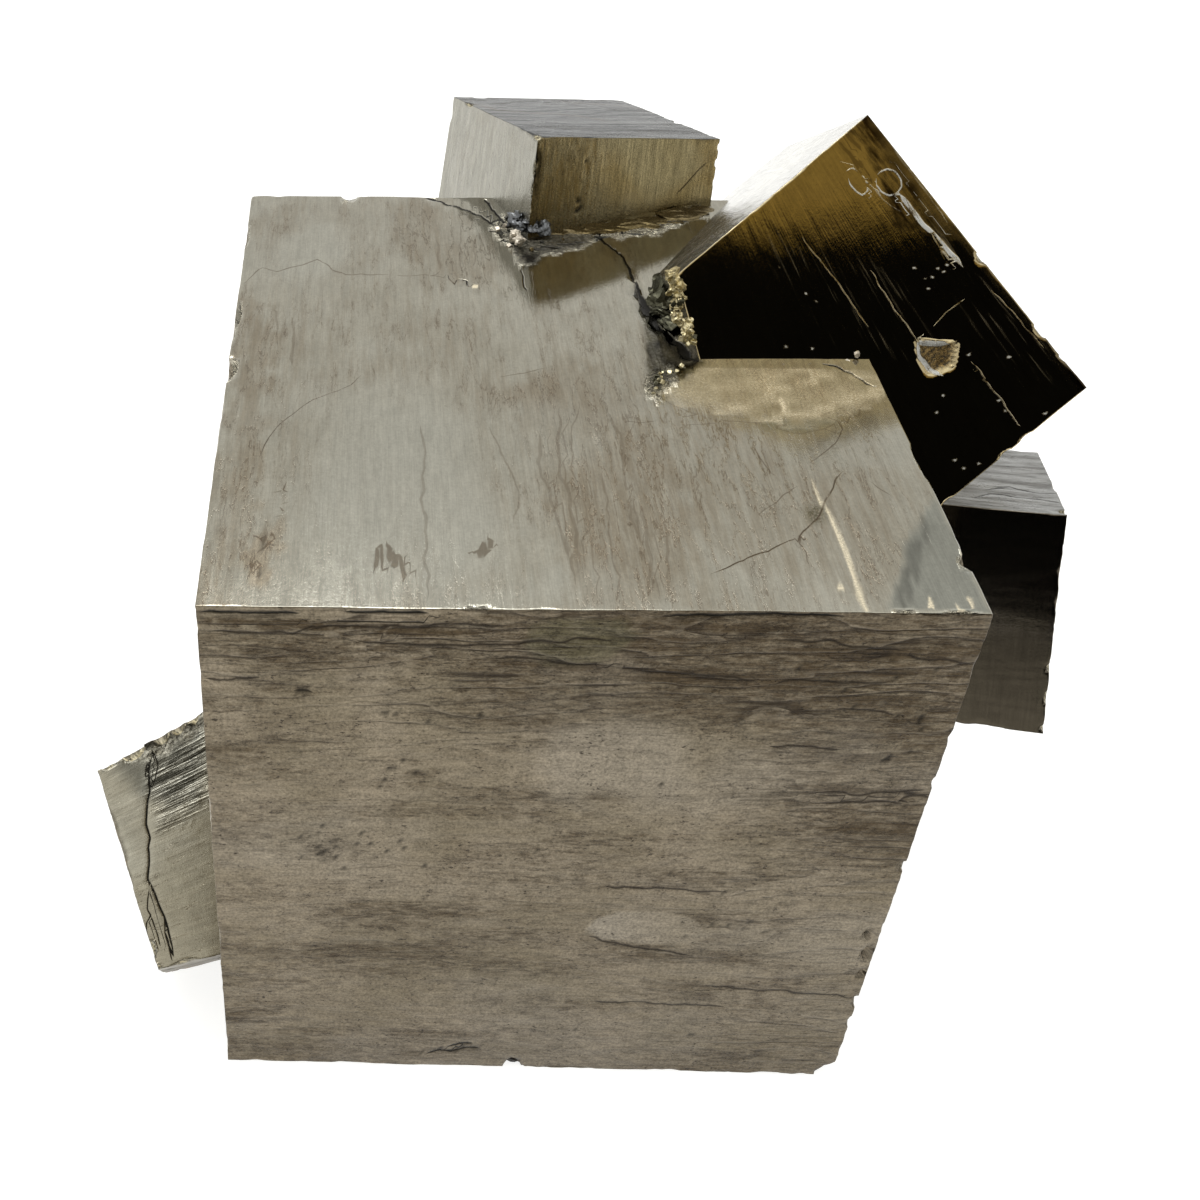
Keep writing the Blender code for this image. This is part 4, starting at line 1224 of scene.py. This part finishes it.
def large_front(skin):
    plain_skin(skin, spacing=1.7, step=0.05, lines=1.0)
    top = smooth_step(32.0, 42.0, skin.up)
    right = smooth_step(25.0, 42.0, skin.across)
    wild = 0.35 * skin.noise(12.0, 5.0, 3, salt=5)
    skin.lines = np.clip(0.2 + 0.7 * top + 0.35 * right + wild, 0.0, 1.0)
    skin.brown = np.clip(0.2 + 0.42 * skin.noise(11.0, 2.0, 4, salt=21), 0.0, 0.7)
    shade = np.clip(0.9 * skin.noise(9.0, 1.3, 4, salt=27), 0.0, 1.0)
    band = smooth_step(34.0, 38.0, skin.up) * smooth_step(8.0, 20.0, skin.across)
    skin.tint("brown", band * (0.62 + 0.38 * shade))
    skin.tint("brown", right * smooth_step(14.0, 32.0, skin.up) * (0.6 + 0.4 * shade))
    skin.tint("brown", (1.0 - smooth_step(1.0, 8.0, skin.up)) * (0.35 + 0.4 * shade))
    # Painted highlight: the hazy reflection on the front face
    skin.tint("pale", skin.patch(HAZY_HIGHLIGHT, (5.5, 5.0), warp=0.35), 0.55)
    for spot, reach in BROWN_SPOTS:
        skin.tint("brown", skin.patch(spot, reach, warp=0.5), 0.45)
    for spot, reach in DARK_BANDS:
        skin.tint("brown", skin.patch(spot, reach, -2.0, 0.3), 1.0)
    for line in UNDER_EDGE:
        skin.line(line, 0.08, 0.95, depth=0.08, wander=0.1)
    for line in STRONG_LINES:
        skin.line(line, 0.11, 0.58, depth=0.04, wander=0.2)
    for line in FAINT_LINES:
        skin.line(line, 0.07, 0.3, depth=0.02, wander=0.2)
    skin.tint("wet", skin.zone(OLIVE_LENS, 0.35, 0.3), 0.45)
    lens = skin.zone(PALE_LENS, 0.12, 0.1)
    lens_tip = skin.at(PALE_LENS[0])[0][0]
    skin.brown *= 1.0 - lens
    skin.lines *= 1.0 - lens
    skin.tint("pale", lens * (1.0 - 0.6 * smooth_step(0.0, 6.0, skin.across - lens_tip)))
    for spot, radius in FRONT_SPOTS:
        skin.pit_at(spot, 0.85 * radius, 0.06, 0.8)
    rng = np.random.default_rng(PIT_FIELD_SEED)
    for middle, spread, count in PIT_FIELDS:
        for spot in rng.normal(middle, spread, (count, 2)):
            skin.pit_at(tuple(spot), 0.05 + 0.09 * rng.random(), 0.04, 0.8)
    for stroke in BASE_STROKES:
        skin.line(stroke, 0.1, 1.0, depth=0.05, wander=0.12)
    skin.tint("dark", skin.patch(NOTCH_SHADE, (0.55, 0.7), warp=0.5), 0.95)


def side_skin(skin):
    plain_skin(skin, spacing=1.8, step=0.05, lines=0.9)
    aged(skin, 5)


# Marks of the smaller cubes, in pixels
UPPER_CORNER_GAP = ((536, 150), (534, 175), (530, 195), (524, 216))
UPPER_PITS = ((577, 211), (581, 207), (578, 201), (587, 160))
UPPER_PALE = (655, 150)
UPPER_GOLD = (560, 190)
UPPER_SCRATCH = ((707, 162), (690, 180), (676, 195))
UPPER_TOP_STREAKS = (
    ((470, 103), (500, 110), (560, 114), (620, 122)),
    ((560, 103), (600, 104), (650, 110), (690, 124)),
)
TILTED_STREAKS = (
    ((898, 191), (910, 208), (923, 224), (942, 243), (964, 267)),
)
SCRATCH_ZONES = (
    ((745, 225), (800, 222), (900, 350), (850, 345)),
    ((860, 262), (880, 262), (926, 342), (908, 344)),
    ((880, 125), (900, 150), (1010, 290), (1060, 370), (1040, 380), (960, 290)),
)
# The dark that the tilted face mirrors, as a painted reflection
BAND_SHADE = (
    (868, 108), (848, 130), (866, 155), (880, 181), (888, 228), (985, 240), (930, 160),
)
BAND_LINES = (
    ((838, 140), (850, 156), (862, 176)), ((846, 134), (862, 152)), ((858, 160), (872, 182)),
)
TILTED_THREADS = (
    ((931, 234), (950, 264)), ((864, 178), (888, 202), (902, 213)),
    ((870, 269), (894, 307), (918, 343)), ((800, 235), (835, 280), (870, 330)),
    ((933, 327), (948, 312), (964, 298)), ((974, 371), (1001, 398), (1023, 425)),
    ((880, 130), (905, 165), (935, 205), (950, 225)),
    ((990, 290), (1015, 315), (1045, 350)), ((970, 360), (990, 385), (1010, 410)),
)
TILTED_LOOPS = (
    ((845, 172), (852, 168), (860, 172), (866, 180), (868, 190), (863, 195), (856, 191),
     (850, 185), (848, 178)),
    ((876, 176), (880, 171), (888, 169), (896, 172), (901, 180), (902, 187), (897, 193),
     (889, 195), (881, 191), (876, 184), (876, 176)),
)
TILTED_SPECKS = (
    (969, 353), (857, 354), (1000, 398), (1007, 408), (939, 412), (1009, 357), (1047, 412),
    (915, 268), (921, 272), (926, 280), (932, 276), (938, 268), (944, 272), (936, 284),
    (929, 288), (947, 265), (912, 392), (957, 457), (982, 460), (967, 466), (944, 395),
    (786, 347), (812, 349), (781, 268), (806, 293), (815, 301),
)
TILTED_CHIP = ((918, 342), (954, 343), (951, 365), (931, 371), (921, 358))
TILTED_CHIP_RIM = ((954, 344), (935, 344), (919, 343), (920, 357), (931, 371), (945, 374))
RIGHT_TOP_LINES = (
    ((970, 497), (1000, 494), (1030, 499), (1064, 503)),
    ((985, 490), (1010, 487), (1040, 493), (1062, 494)),
)
LEFT_CRACK = (
    (150, 748), (151, 759), (148, 772), (149, 792), (147, 804), (146, 825), (150, 839),
    (148, 849), (150, 866), (148, 880), (154, 893), (164, 916), (170, 937), (176, 964),
)
LEFT_BRANCHES = (
    ((149, 888), (148, 909), (151, 915), (147, 923), (147, 937), (149, 944)),
    ((151, 916), (158, 935), (160, 946)),
    ((164, 918), (165, 932), (173, 962)),
    ((147, 762), (145, 775), (149, 790)),
    ((152, 750), (158, 765), (152, 788)),
)
LEFT_STREAKED = (
    (158, 762), (172, 742), (181, 738), (192, 716), (206, 708), (210, 795), (186, 812),
    (162, 818), (153, 792),
)
LEFT_DARK = (
    (98, 770), (124, 752), (150, 744), (204, 711), (206, 770), (180, 790), (150, 800),
    (131, 790), (112, 773),
)
LEFT_TORN = (
    (118, 756), (150, 740), (172, 735), (196, 712), (206, 706), (206, 730), (180, 742),
    (160, 756), (146, 762), (124, 764),
)


def upper_front(skin):
    plain_skin(skin, along_across=False, spacing=1.3, step=0.02, lines=0.4, grit=0.006)
    low = 1.0 - smooth_step(1.0, 9.0, skin.up)
    skin.tint("brown", low, 0.3)
    skin.tint("pale", skin.patch(UPPER_PALE, (4.5, 3.6), 0.0, 0.4), 0.35)
    skin.tint("brown", skin.patch(UPPER_GOLD, (4.4, 5.5), 0.0, 0.4), 0.5)
    skin.line(UPPER_SCRATCH, 0.06, 0.6)
    skin.line(UPPER_CORNER_GAP, 0.16, 1.0, depth=0.2, wander=0.2)
    for spot in UPPER_PITS:
        skin.pit_at(spot, 0.2, 0.12)


def upper_side(skin):
    plain_skin(skin, along_across=False, spacing=1.5, step=0.02, lines=0.25, grit=0.008)
    skin.brown *= 0.5


def upper_top(skin):
    plain_skin(skin, spacing=2.1, step=0.03, lines=1.0, grit=0.006)
    skin.brown = np.clip(skin.noise(8.0, 1.5, 4, salt=3) * 0.9, 0.0, 1.0)
    skin.pale = np.clip(skin.noise(9.0, 1.1, 4, salt=4) * 0.7, 0.0, 1.0)
    for streak in UPPER_TOP_STREAKS:
        skin.line(streak, 0.3, 0.5, wander=0.5)


def tilted_front(skin):
    plain_skin(skin, step=0.003, lines=0.0, swell=0.012, grit=0.0008)
    skin.brown *= 0.0
    skin.pale *= 0.0
    rim = 1.0 - smooth_step(0.1, 0.6, skin.crystal.size[2] - skin.up)
    skin.tint("brown", rim, 0.9)
    for zone in SCRATCH_ZONES:
        skin.tint("pale", skin.zone(zone, 0.8, 0.5))
    for streak in TILTED_STREAKS:
        skin.line(streak, 0.13, -1.0, wander=0.05)
    # Painted reflection: the dark band that the face mirrors, in the look's brown
    shade = skin.zone(BAND_SHADE, 0.5, 0.3)
    skin.tint("brown", shade * np.clip(0.95 + 0.5 * skin.noise(9.0, 0.5, 3, salt=71), 0.0, 1.0))
    for line in BAND_LINES:
        skin.line(line, 0.14, 0.4, wander=0.1)
    for number, thread in enumerate(TILTED_THREADS):
        skin.line(thread, 0.03, -0.16 - 0.04 * (number % 3), wander=0.1)
    for loop in TILTED_LOOPS:
        skin.line(loop, 0.045, -0.6, wander=0.06)
    for spot in TILTED_SPECKS:
        skin.tint("dust", skin.patch(spot, (0.12, 0.12), warp=0.5), 0.7)
    chip = skin.zone(TILTED_CHIP, 0.12, 0.08)
    skin.height -= 0.5 * chip
    skin.tint("rubble", chip)
    skin.line(TILTED_CHIP_RIM, 0.16, -1.0, wander=0.15)


def tilted_top(skin):
    plain_skin(skin, spacing=1.5, step=0.03, lines=0.5)
    end = smooth_step(0.45, 0.95, 1.0 - skin.up / skin.crystal.size[2])
    skin.brown = end * np.clip(0.8 + 0.6 * skin.noise(0.7, 4.0, 3, salt=6), 0.0, 1.0)


def right_front(skin):
    plain_skin(skin, step=0.004, lines=0.0, swell=0.015, grit=0.001)
    skin.brown = 1.0 - smooth_step(6.0, 10.0, skin.up)
    skin.pale *= 0.0


def right_top(skin):
    plain_skin(skin, spacing=1.5, step=0.03, lines=0.8)
    skin.brown = np.clip(0.3 + 0.6 * skin.noise(4.0, 1.0, 4, salt=7), 0.0, 0.9)
    for line in RIGHT_TOP_LINES:
        skin.line(line, 0.12, 0.8, wander=0.3)


def left_front(skin):
    plain_skin(skin, spacing=1.5, step=0.02, lines=0.15, grit=0.01)
    skin.brown *= 0.4
    skin.tint("wet", skin.zone(LEFT_DARK, 0.7, 0.4), 0.7)
    streaked = skin.zone(LEFT_STREAKED, 0.9, 0.6)
    skin.tint("rust", streaked, 0.8)
    skin.height += streaked * 0.12 * skin.noise(3.0, 0.35, 2, salt=6)
    torn = skin.zone(LEFT_TORN, 0.35, 0.5)
    skin.tint("rubble", torn, 0.8)
    skin.height -= torn * (0.35 + 0.3 * skin.noise(0.8, 0.8, 3, salt=8))
    skin.line(LEFT_CRACK, 0.06, 1.0, depth=0.03, wander=0.06)
    for branch in LEFT_BRANCHES:
        skin.line(branch, 0.03, 0.85, depth=0.01, wander=0.05)


# Chips, as pixels on a face with three radii in mm
BASE_NOTCH = (513, 1072)
NOTCH_DEPTH = 0.5       # where the dark lump that paints the notch's shadow stands, in mm
NOTCH_HEIGHT = 0.72
RIGHT_NICKS = (
    ((868, 935), (0.35, 0.5, 0.4)), ((866, 955), (0.4, 0.5, 0.75)), ((862, 974), (0.3, 0.4, 0.35)),
    ((857, 1001), (0.35, 0.5, 0.6)), ((902, 867), (0.25, 0.4, 0.5)), ((935, 783), (0.22, 0.3, 0.4)),
    ((850, 1022), (0.3, 0.4, 0.5)), ((952, 737), (0.2, 0.3, 0.5)),
)
EDGE_NICKS = (
    ((208, 609), (0.6, 0.3, 0.16)), ((226, 609), (0.4, 0.3, 0.14)), ((312, 610), (0.4, 0.3, 0.15)),
    ((330, 611), (0.6, 0.3, 0.16)), ((344, 610), (0.4, 0.3, 0.14)), ((470, 609), (0.3, 0.3, 0.14)),
    ((483, 609), (0.35, 0.3, 0.13)), ((905, 612), (0.6, 0.2, 0.12)), ((960, 613), (1.0, 0.2, 0.14)),
)
LEFT_SIDE_NICKS = ((232, 332), (239, 314), (247, 236), (207, 470))
LEFT_SIDE_RADII = (0.22, 1.4, 0.3)
BASE_WEAR = (
    ((300, 1066), (2.8, 0.8, 0.6)), ((370, 1070), (1.6, 0.7, 0.4)), ((440, 1072), (2.5, 0.6, 0.25)),
    ((560, 1073), (1.8, 0.6, 0.25)), ((620, 1074), (3.0, 0.6, 0.4)), ((700, 1075), (2.0, 0.5, 0.2)),
    ((770, 1075), (2.5, 0.6, 0.35)), ((250, 1062), (1.5, 0.5, 0.2)),
)
CORNER_BREAK = (1.1, 1.2, 1.5)
TILTED_NICKS = (
    ((914, 166), (0.3, 0.5, 0.25)), ((982, 257), (0.45, 0.5, 0.3)), ((940, 200), (0.6, 0.4, 0.15)),
    ((1040, 330), (0.7, 0.5, 0.18)), ((1062, 357), (0.3, 0.4, 0.15)),
)
TILTED_LOW_NICKS = (
    ((1010, 452), (0.3, 0.3, 0.3)), ((1030, 436), (0.25, 0.3, 0.4)), ((955, 497), (0.25, 0.3, 0.3)),
)
UPPER_NICKS = (
    ((534, 168), (0.3, 0.35, 0.6)), ((531, 190), (0.35, 0.4, 0.8)), ((526, 208), (0.4, 0.4, 0.5)),
    ((720, 147), (0.22, 0.3, 0.3)), ((717, 163), (0.22, 0.3, 0.35)), ((716, 182), (0.25, 0.3, 0.45)),
)
RIGHT_CUBE_NICKS = (
    ((1066, 548), (0.22, 0.35, 0.25)), ((1057, 625), (0.2, 0.3, 0.2)), ((1050, 668), (0.3, 0.4, 0.4)),
    ((1048, 697), (0.28, 0.4, 0.6)), ((1044, 728), (0.3, 0.4, 0.3)),
)
LEFT_CUBE_NICKS = (
    ((149, 950), (0.6, 0.6, 0.6)), ((156, 968), (0.5, 0.6, 0.3)), ((112, 762), (0.8, 0.8, 0.35)),
    ((135, 752), (0.7, 0.9, 0.5)), ((162, 738), (0.6, 0.9, 0.45)), ((178, 728), (0.5, 1.0, 0.4)),
    ((192, 718), (0.5, 0.8, 0.5)), ((185, 965), (0.5, 0.5, 0.25)),
)


def nicks(crystal, face, table, rough=0.4):
    return [
        (crystal.locate([pixel], face)[0], radii, rough)
        for pixel, radii in table
    ]


def hidden_nicks(crystal, seed, count):
    """Small breaks in repeatable random places along the edges at the back and below."""
    rng = np.random.default_rng(seed)
    found = []
    for _ in range(count):
        place = rng.random(3)
        along = rng.integers(3)
        for axis in range(3):
            if axis != along:
                place[axis] = rng.integers(2)
        if place[1] == 0.0 or (along == 0 and place[2] == 1.0):
            place[1] = 1.0
        radii = 0.25 + 0.5 * rng.random(3)
        radii[along] *= 1.8
        found.append((place * crystal.size, tuple(radii), 0.4))
    return found


LARGE_CHIPS = (
    [(LARGE.locate([BASE_NOTCH], "front")[0], (0.8, 2.4, 1.5), 0.5)]
    + nicks(LARGE, "front", RIGHT_NICKS)
    + nicks(LARGE, "front", BASE_WEAR, 0.2)
    + nicks(LARGE, "top", EDGE_NICKS, 0.6)
    + nicks(LARGE, "top", [(pixel, LEFT_SIDE_RADII) for pixel in LEFT_SIDE_NICKS])
    + [((LARGE.size[0], 0.0, 0.0), CORNER_BREAK, 0.4)]
    + hidden_nicks(LARGE, 3, 16)
)
TILTED_CHIPS = (
    nicks(TILTED, "front", TILTED_NICKS) + nicks(TILTED, "front", TILTED_LOW_NICKS)
    + hidden_nicks(TILTED, 4, 8)
)
UPPER_CHIPS = nicks(UPPER, "front", UPPER_NICKS) + hidden_nicks(UPPER, 5, 6)
RIGHT_CHIPS = nicks(RIGHT, "front", RIGHT_CUBE_NICKS) + hidden_nicks(RIGHT, 6, 6)
LEFT_CHIPS = nicks(LEFT, "front", LEFT_CUBE_NICKS, 0.8) + hidden_nicks(LEFT, 7, 5)


def other_skin(skin):
    plain_skin(skin, spacing=1.6, step=0.03, lines=0.6)
    aged(skin, 9, 2)


# Crust between the crystals: runs of pixels that the grains follow
RIDGE = (
    (497, 228), (512, 240), (530, 250), (552, 247), (580, 242), (606, 237), (650, 231),
    (704, 214),
)
BLUE_LUMPS = ((512, 221), (520, 217), (529, 218), (538, 222), (546, 228), (527, 226), (518, 228))
CREAM_CHIP = ((515, 235), (519, 241), (523, 238))
SMALL_CHIPS = ((507, 208), (511, 214), (508, 219), (498, 232), (503, 240), (509, 247), (493, 226))
GOLD_STRIP = ((556, 228), (590, 229), (630, 225), (670, 219), (702, 208))
GOLD_END = ((676, 279), (674, 290), (680, 300), (676, 312), (684, 322), (688, 334), (694, 346))
GREY_END = ((664, 282), (660, 292), (665, 304), (670, 318), (676, 330))
GOLD_PATCH = ((656, 378), (660, 385), (655, 392), (662, 372), (680, 371), (686, 366))
SLIVER = ((843, 366), (853, 368), (862, 372), (868, 378))
BRIGHT_DOT = (857, 354)


class Crust:
    """Many small stones and cubes gathered into one mesh."""

    def __init__(self, seed):
        self.rng = np.random.default_rng(seed)
        self.points = []
        self.faces = []
        self.materials = []
        self.count = 0
        ball = bmesh.new()
        bmesh.ops.create_icosphere(ball, subdivisions=3, radius=1.0)
        self.ball = np.array([vertex.co[:] for vertex in ball.verts])
        self.ball_faces = np.array([[v.index for v in face.verts] for face in ball.faces])
        ball.free()
        block = bmesh.new()
        bmesh.ops.create_cube(block, size=2.0)
        bmesh.ops.bevel(block, geom=block.edges[:], offset=0.14, segments=1, affect="EDGES")
        self.block = np.array([vertex.co[:] for vertex in block.verts])
        self.block_faces = [[v.index for v in face.verts] for face in block.faces]
        block.free()

    def turned(self, points, spread=3.0):
        angles = spread * (self.rng.random(3) - 0.5) * 2.0
        return points @ np.array(Euler(angles).to_matrix()).T

    def add(self, points, faces, material):
        self.points.append(points)
        self.faces.extend([[index + self.count for index in face] for face in faces])
        self.materials.extend([material] * len(faces))
        self.count += len(points)

    def lump(self, place, radii, material, seed, rough=0.3, spread=3.0):
        bulge = 1.0 + rough * layered(self.ball * 1.6 + seed * 3.1, seed, 4)
        facets = np.maximum(np.abs(self.ball).max(axis=1, keepdims=True), 0.72)
        shape = self.ball / facets * 0.85 * bulge[:, None]
        stone = self.turned(self.turned(shape) * np.array(radii), spread * 0.3)
        self.add(stone + place, self.ball_faces.tolist(), material)

    def cube(self, place, size, material):
        sizes = size * (0.75 + 0.5 * self.rng.random(3))
        self.add(self.turned(self.block * sizes) + place, self.block_faces, material)

    def along(self, crystal, face, pixels, spacing, spread):
        """Places in mm every so often along a run of pixels on a crystal's face."""
        spots = crystal.world(crystal.locate(pixels, face)) / MM
        found = []
        for first, second in zip(spots[:-1], spots[1:]):
            count = max(1, round(np.linalg.norm(second - first) / spacing))
            for number in range(count):
                place = first + (second - first) * number / count
                found.append(place + spread * self.rng.normal(size=3))
        return found

    def mesh(self, name):
        points = np.concatenate(self.points)
        mesh = bpy.data.meshes.new(name)
        mesh.from_pydata((points * MM).tolist(), [], self.faces)
        mesh.polygons.foreach_set("material_index", self.materials)
        corner = np.empty(len(mesh.loops), int)
        mesh.loops.foreach_get("vertex_index", corner)
        zeros = np.zeros((len(corner), 3))
        store(mesh, "local_mm", "FLOAT_VECTOR", "vector", points[corner])
        for attribute in ("growth", "drawn", "fresh"):
            store(mesh, attribute, "FLOAT_VECTOR", "vector", zeros)
        store(mesh, "tints", "FLOAT_COLOR", "color", np.zeros((len(corner), 4)))
        mesh.update()
        return mesh


CRUST_SEED = 71
GREY, GOLD, PALE, BLUE, STRIP, OLIVE, NOTCH_SHADOW_LUMP = range(7)


def towards_camera(place):
    """The unit vector from a place in mm to the camera."""
    way = np.array(CAMERA_PLACE) / MM - place
    return way / np.linalg.norm(way)


def build_crust():
    crust = Crust(CRUST_SEED)
    for number, place in enumerate(crust.along(LARGE, "top", RIDGE, 0.8, 0.08)):
        place[2] -= 0.12
        crust.lump(place, (0.9, 0.13, 0.1), GREY, number, 0.4, 0.2)
    for number, place in enumerate(crust.along(LARGE, "top", RIDGE, 1.1, 0.3)):
        crust.cube(place, 0.05 + 0.07 * crust.rng.random(), (GREY, STRIP, GREY)[number % 3])
    for number, place in enumerate(crust.along(LARGE, "top", GOLD_STRIP, 0.9, 0.05)):
        place[2] -= 0.12
        crust.lump(place, (1.8, 0.9, 0.24), STRIP, number, 0.2, 0.1)
    for number, place in enumerate(crust.along(LARGE, "top", BLUE_LUMPS, 0.5, 0.1)):
        place += towards_camera(place) * 1.5
        crust.lump(place, 0.35 + 0.3 * crust.rng.random(3), BLUE, 30 + number, 0.35)
    for number, place in enumerate(crust.along(LARGE, "top", CREAM_CHIP, 4.0, 0.03)):
        place += towards_camera(place) * 1.3
        crust.lump(place, 0.4 + 0.2 * crust.rng.random(3), PALE, 50 + number, 0.3)
    for number, place in enumerate(crust.along(LARGE, "top", SMALL_CHIPS, 1.0, 0.12)):
        place[2] += 0.05
        crust.cube(place, 0.1 + 0.1 * crust.rng.random(), PALE if number % 3 == 0 else GREY)
    for number, place in enumerate(crust.along(TILTED, "front", GOLD_END, 0.5, 0.12)):
        crust.lump(place, (0.42, 0.3, 0.42), GOLD, 60 + number, 0.5)
    for number, place in enumerate(crust.along(TILTED, "front", GOLD_END, 0.16, 0.24)):
        crust.cube(place, 0.1 + 0.12 * crust.rng.random(), (GOLD, GOLD, OLIVE)[number % 3])
    for number, place in enumerate(crust.along(LARGE, "top", GREY_END, 1.0, 0.1)):
        crust.lump(place, (0.8, 1.0, 0.35), OLIVE, 70 + number, 0.5)
    for number, place in enumerate(crust.along(LARGE, "top", GOLD_PATCH, 0.25, 0.15)):
        place[2] = max(place[2], LARGE.size[2])
        crust.cube(place, 0.08 + 0.08 * crust.rng.random(), (GOLD, OLIVE)[number % 2])
    for number, place in enumerate(crust.along(TILTED, "front", SLIVER, 0.4, 0.05)):
        crust.lump(place, (0.45, 0.2, 0.25), PALE, 90 + number, 0.4)
    # A dark lump in the base notch: a painted shadow, standing in for the shade inside it
    notch = LARGE.world(LARGE.locate([BASE_NOTCH], "front"))[0] / MM
    shadow_lump_place = (notch[0], notch[1] + NOTCH_DEPTH, NOTCH_HEIGHT)
    crust.lump(shadow_lump_place, (0.8, 0.3, 0.55), NOTCH_SHADOW_LUMP, 77, 0.15, 0.1)
    dot = TILTED.world(TILTED.locate([BRIGHT_DOT], "front"))[0] / MM
    crust.lump(dot, (0.2, 0.2, 0.2), PALE, 99)
    piece = bpy.data.objects.new("crust", crust.mesh("crust"))
    for name in ("crust_grey", "crust_gold", "crust_pale", "crust_blue", "crust_strip",
                 "crust_olive", "crust_dark"):
        piece.data.materials.append(pyrite(name, LOOKS[name], 0))
    bpy.context.scene.collection.objects.link(piece)
    return piece


# Faces whose striations run up and not across, crystal by crystal
UPRIGHT = [("top",), ("front", "left", "right", "back"), (), ("front",), ()]

add_camera()
add_world()
add_floor()
add_light("key", (-0.15, 0.25, 0.6), 0.35, 2.0)
bpy.context.scene.view_settings.view_transform = "Standard"

pieces = [
    build_crystal(
        LARGE,
        {"front": large_front, "top": large_top, "left": side_skin, "right": side_skin,
         "back": side_skin},
        LARGE_CHIPS, 11, 0.25,
    ),
    build_crystal(
        UPPER, {"front": upper_front, "left": upper_side, "top": upper_top}, UPPER_CHIPS, 23
    ),
    build_crystal(TILTED, {"front": tilted_front, "left": tilted_top}, TILTED_CHIPS, 31,
                  0.12),
    build_crystal(RIGHT, {"front": right_front, "top": right_top}, RIGHT_CHIPS, 43),
    build_crystal(LEFT, {"front": left_front}, LEFT_CHIPS, 59),
]
# The look of each face, crystal by crystal
NAMES = [
    {"rest": "large_side", "top": "large_top", "front": "large_front"},
    {"rest": "upper_side", "front": "upper_front", "top": "upper_top"},
    {"rest": "plain", "front": "tilted_front", "left": "tilted_top"},
    {"rest": "plain", "front": "right_front", "top": "right_top"},
    {"rest": "left_side", "front": "left_front"},
]
for piece, names, upright in zip(pieces, NAMES, UPRIGHT):
    material_set(piece, names, upright)
pieces.append(build_crust())
for piece in pieces:
    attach(piece, "root")
    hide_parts(NODE)
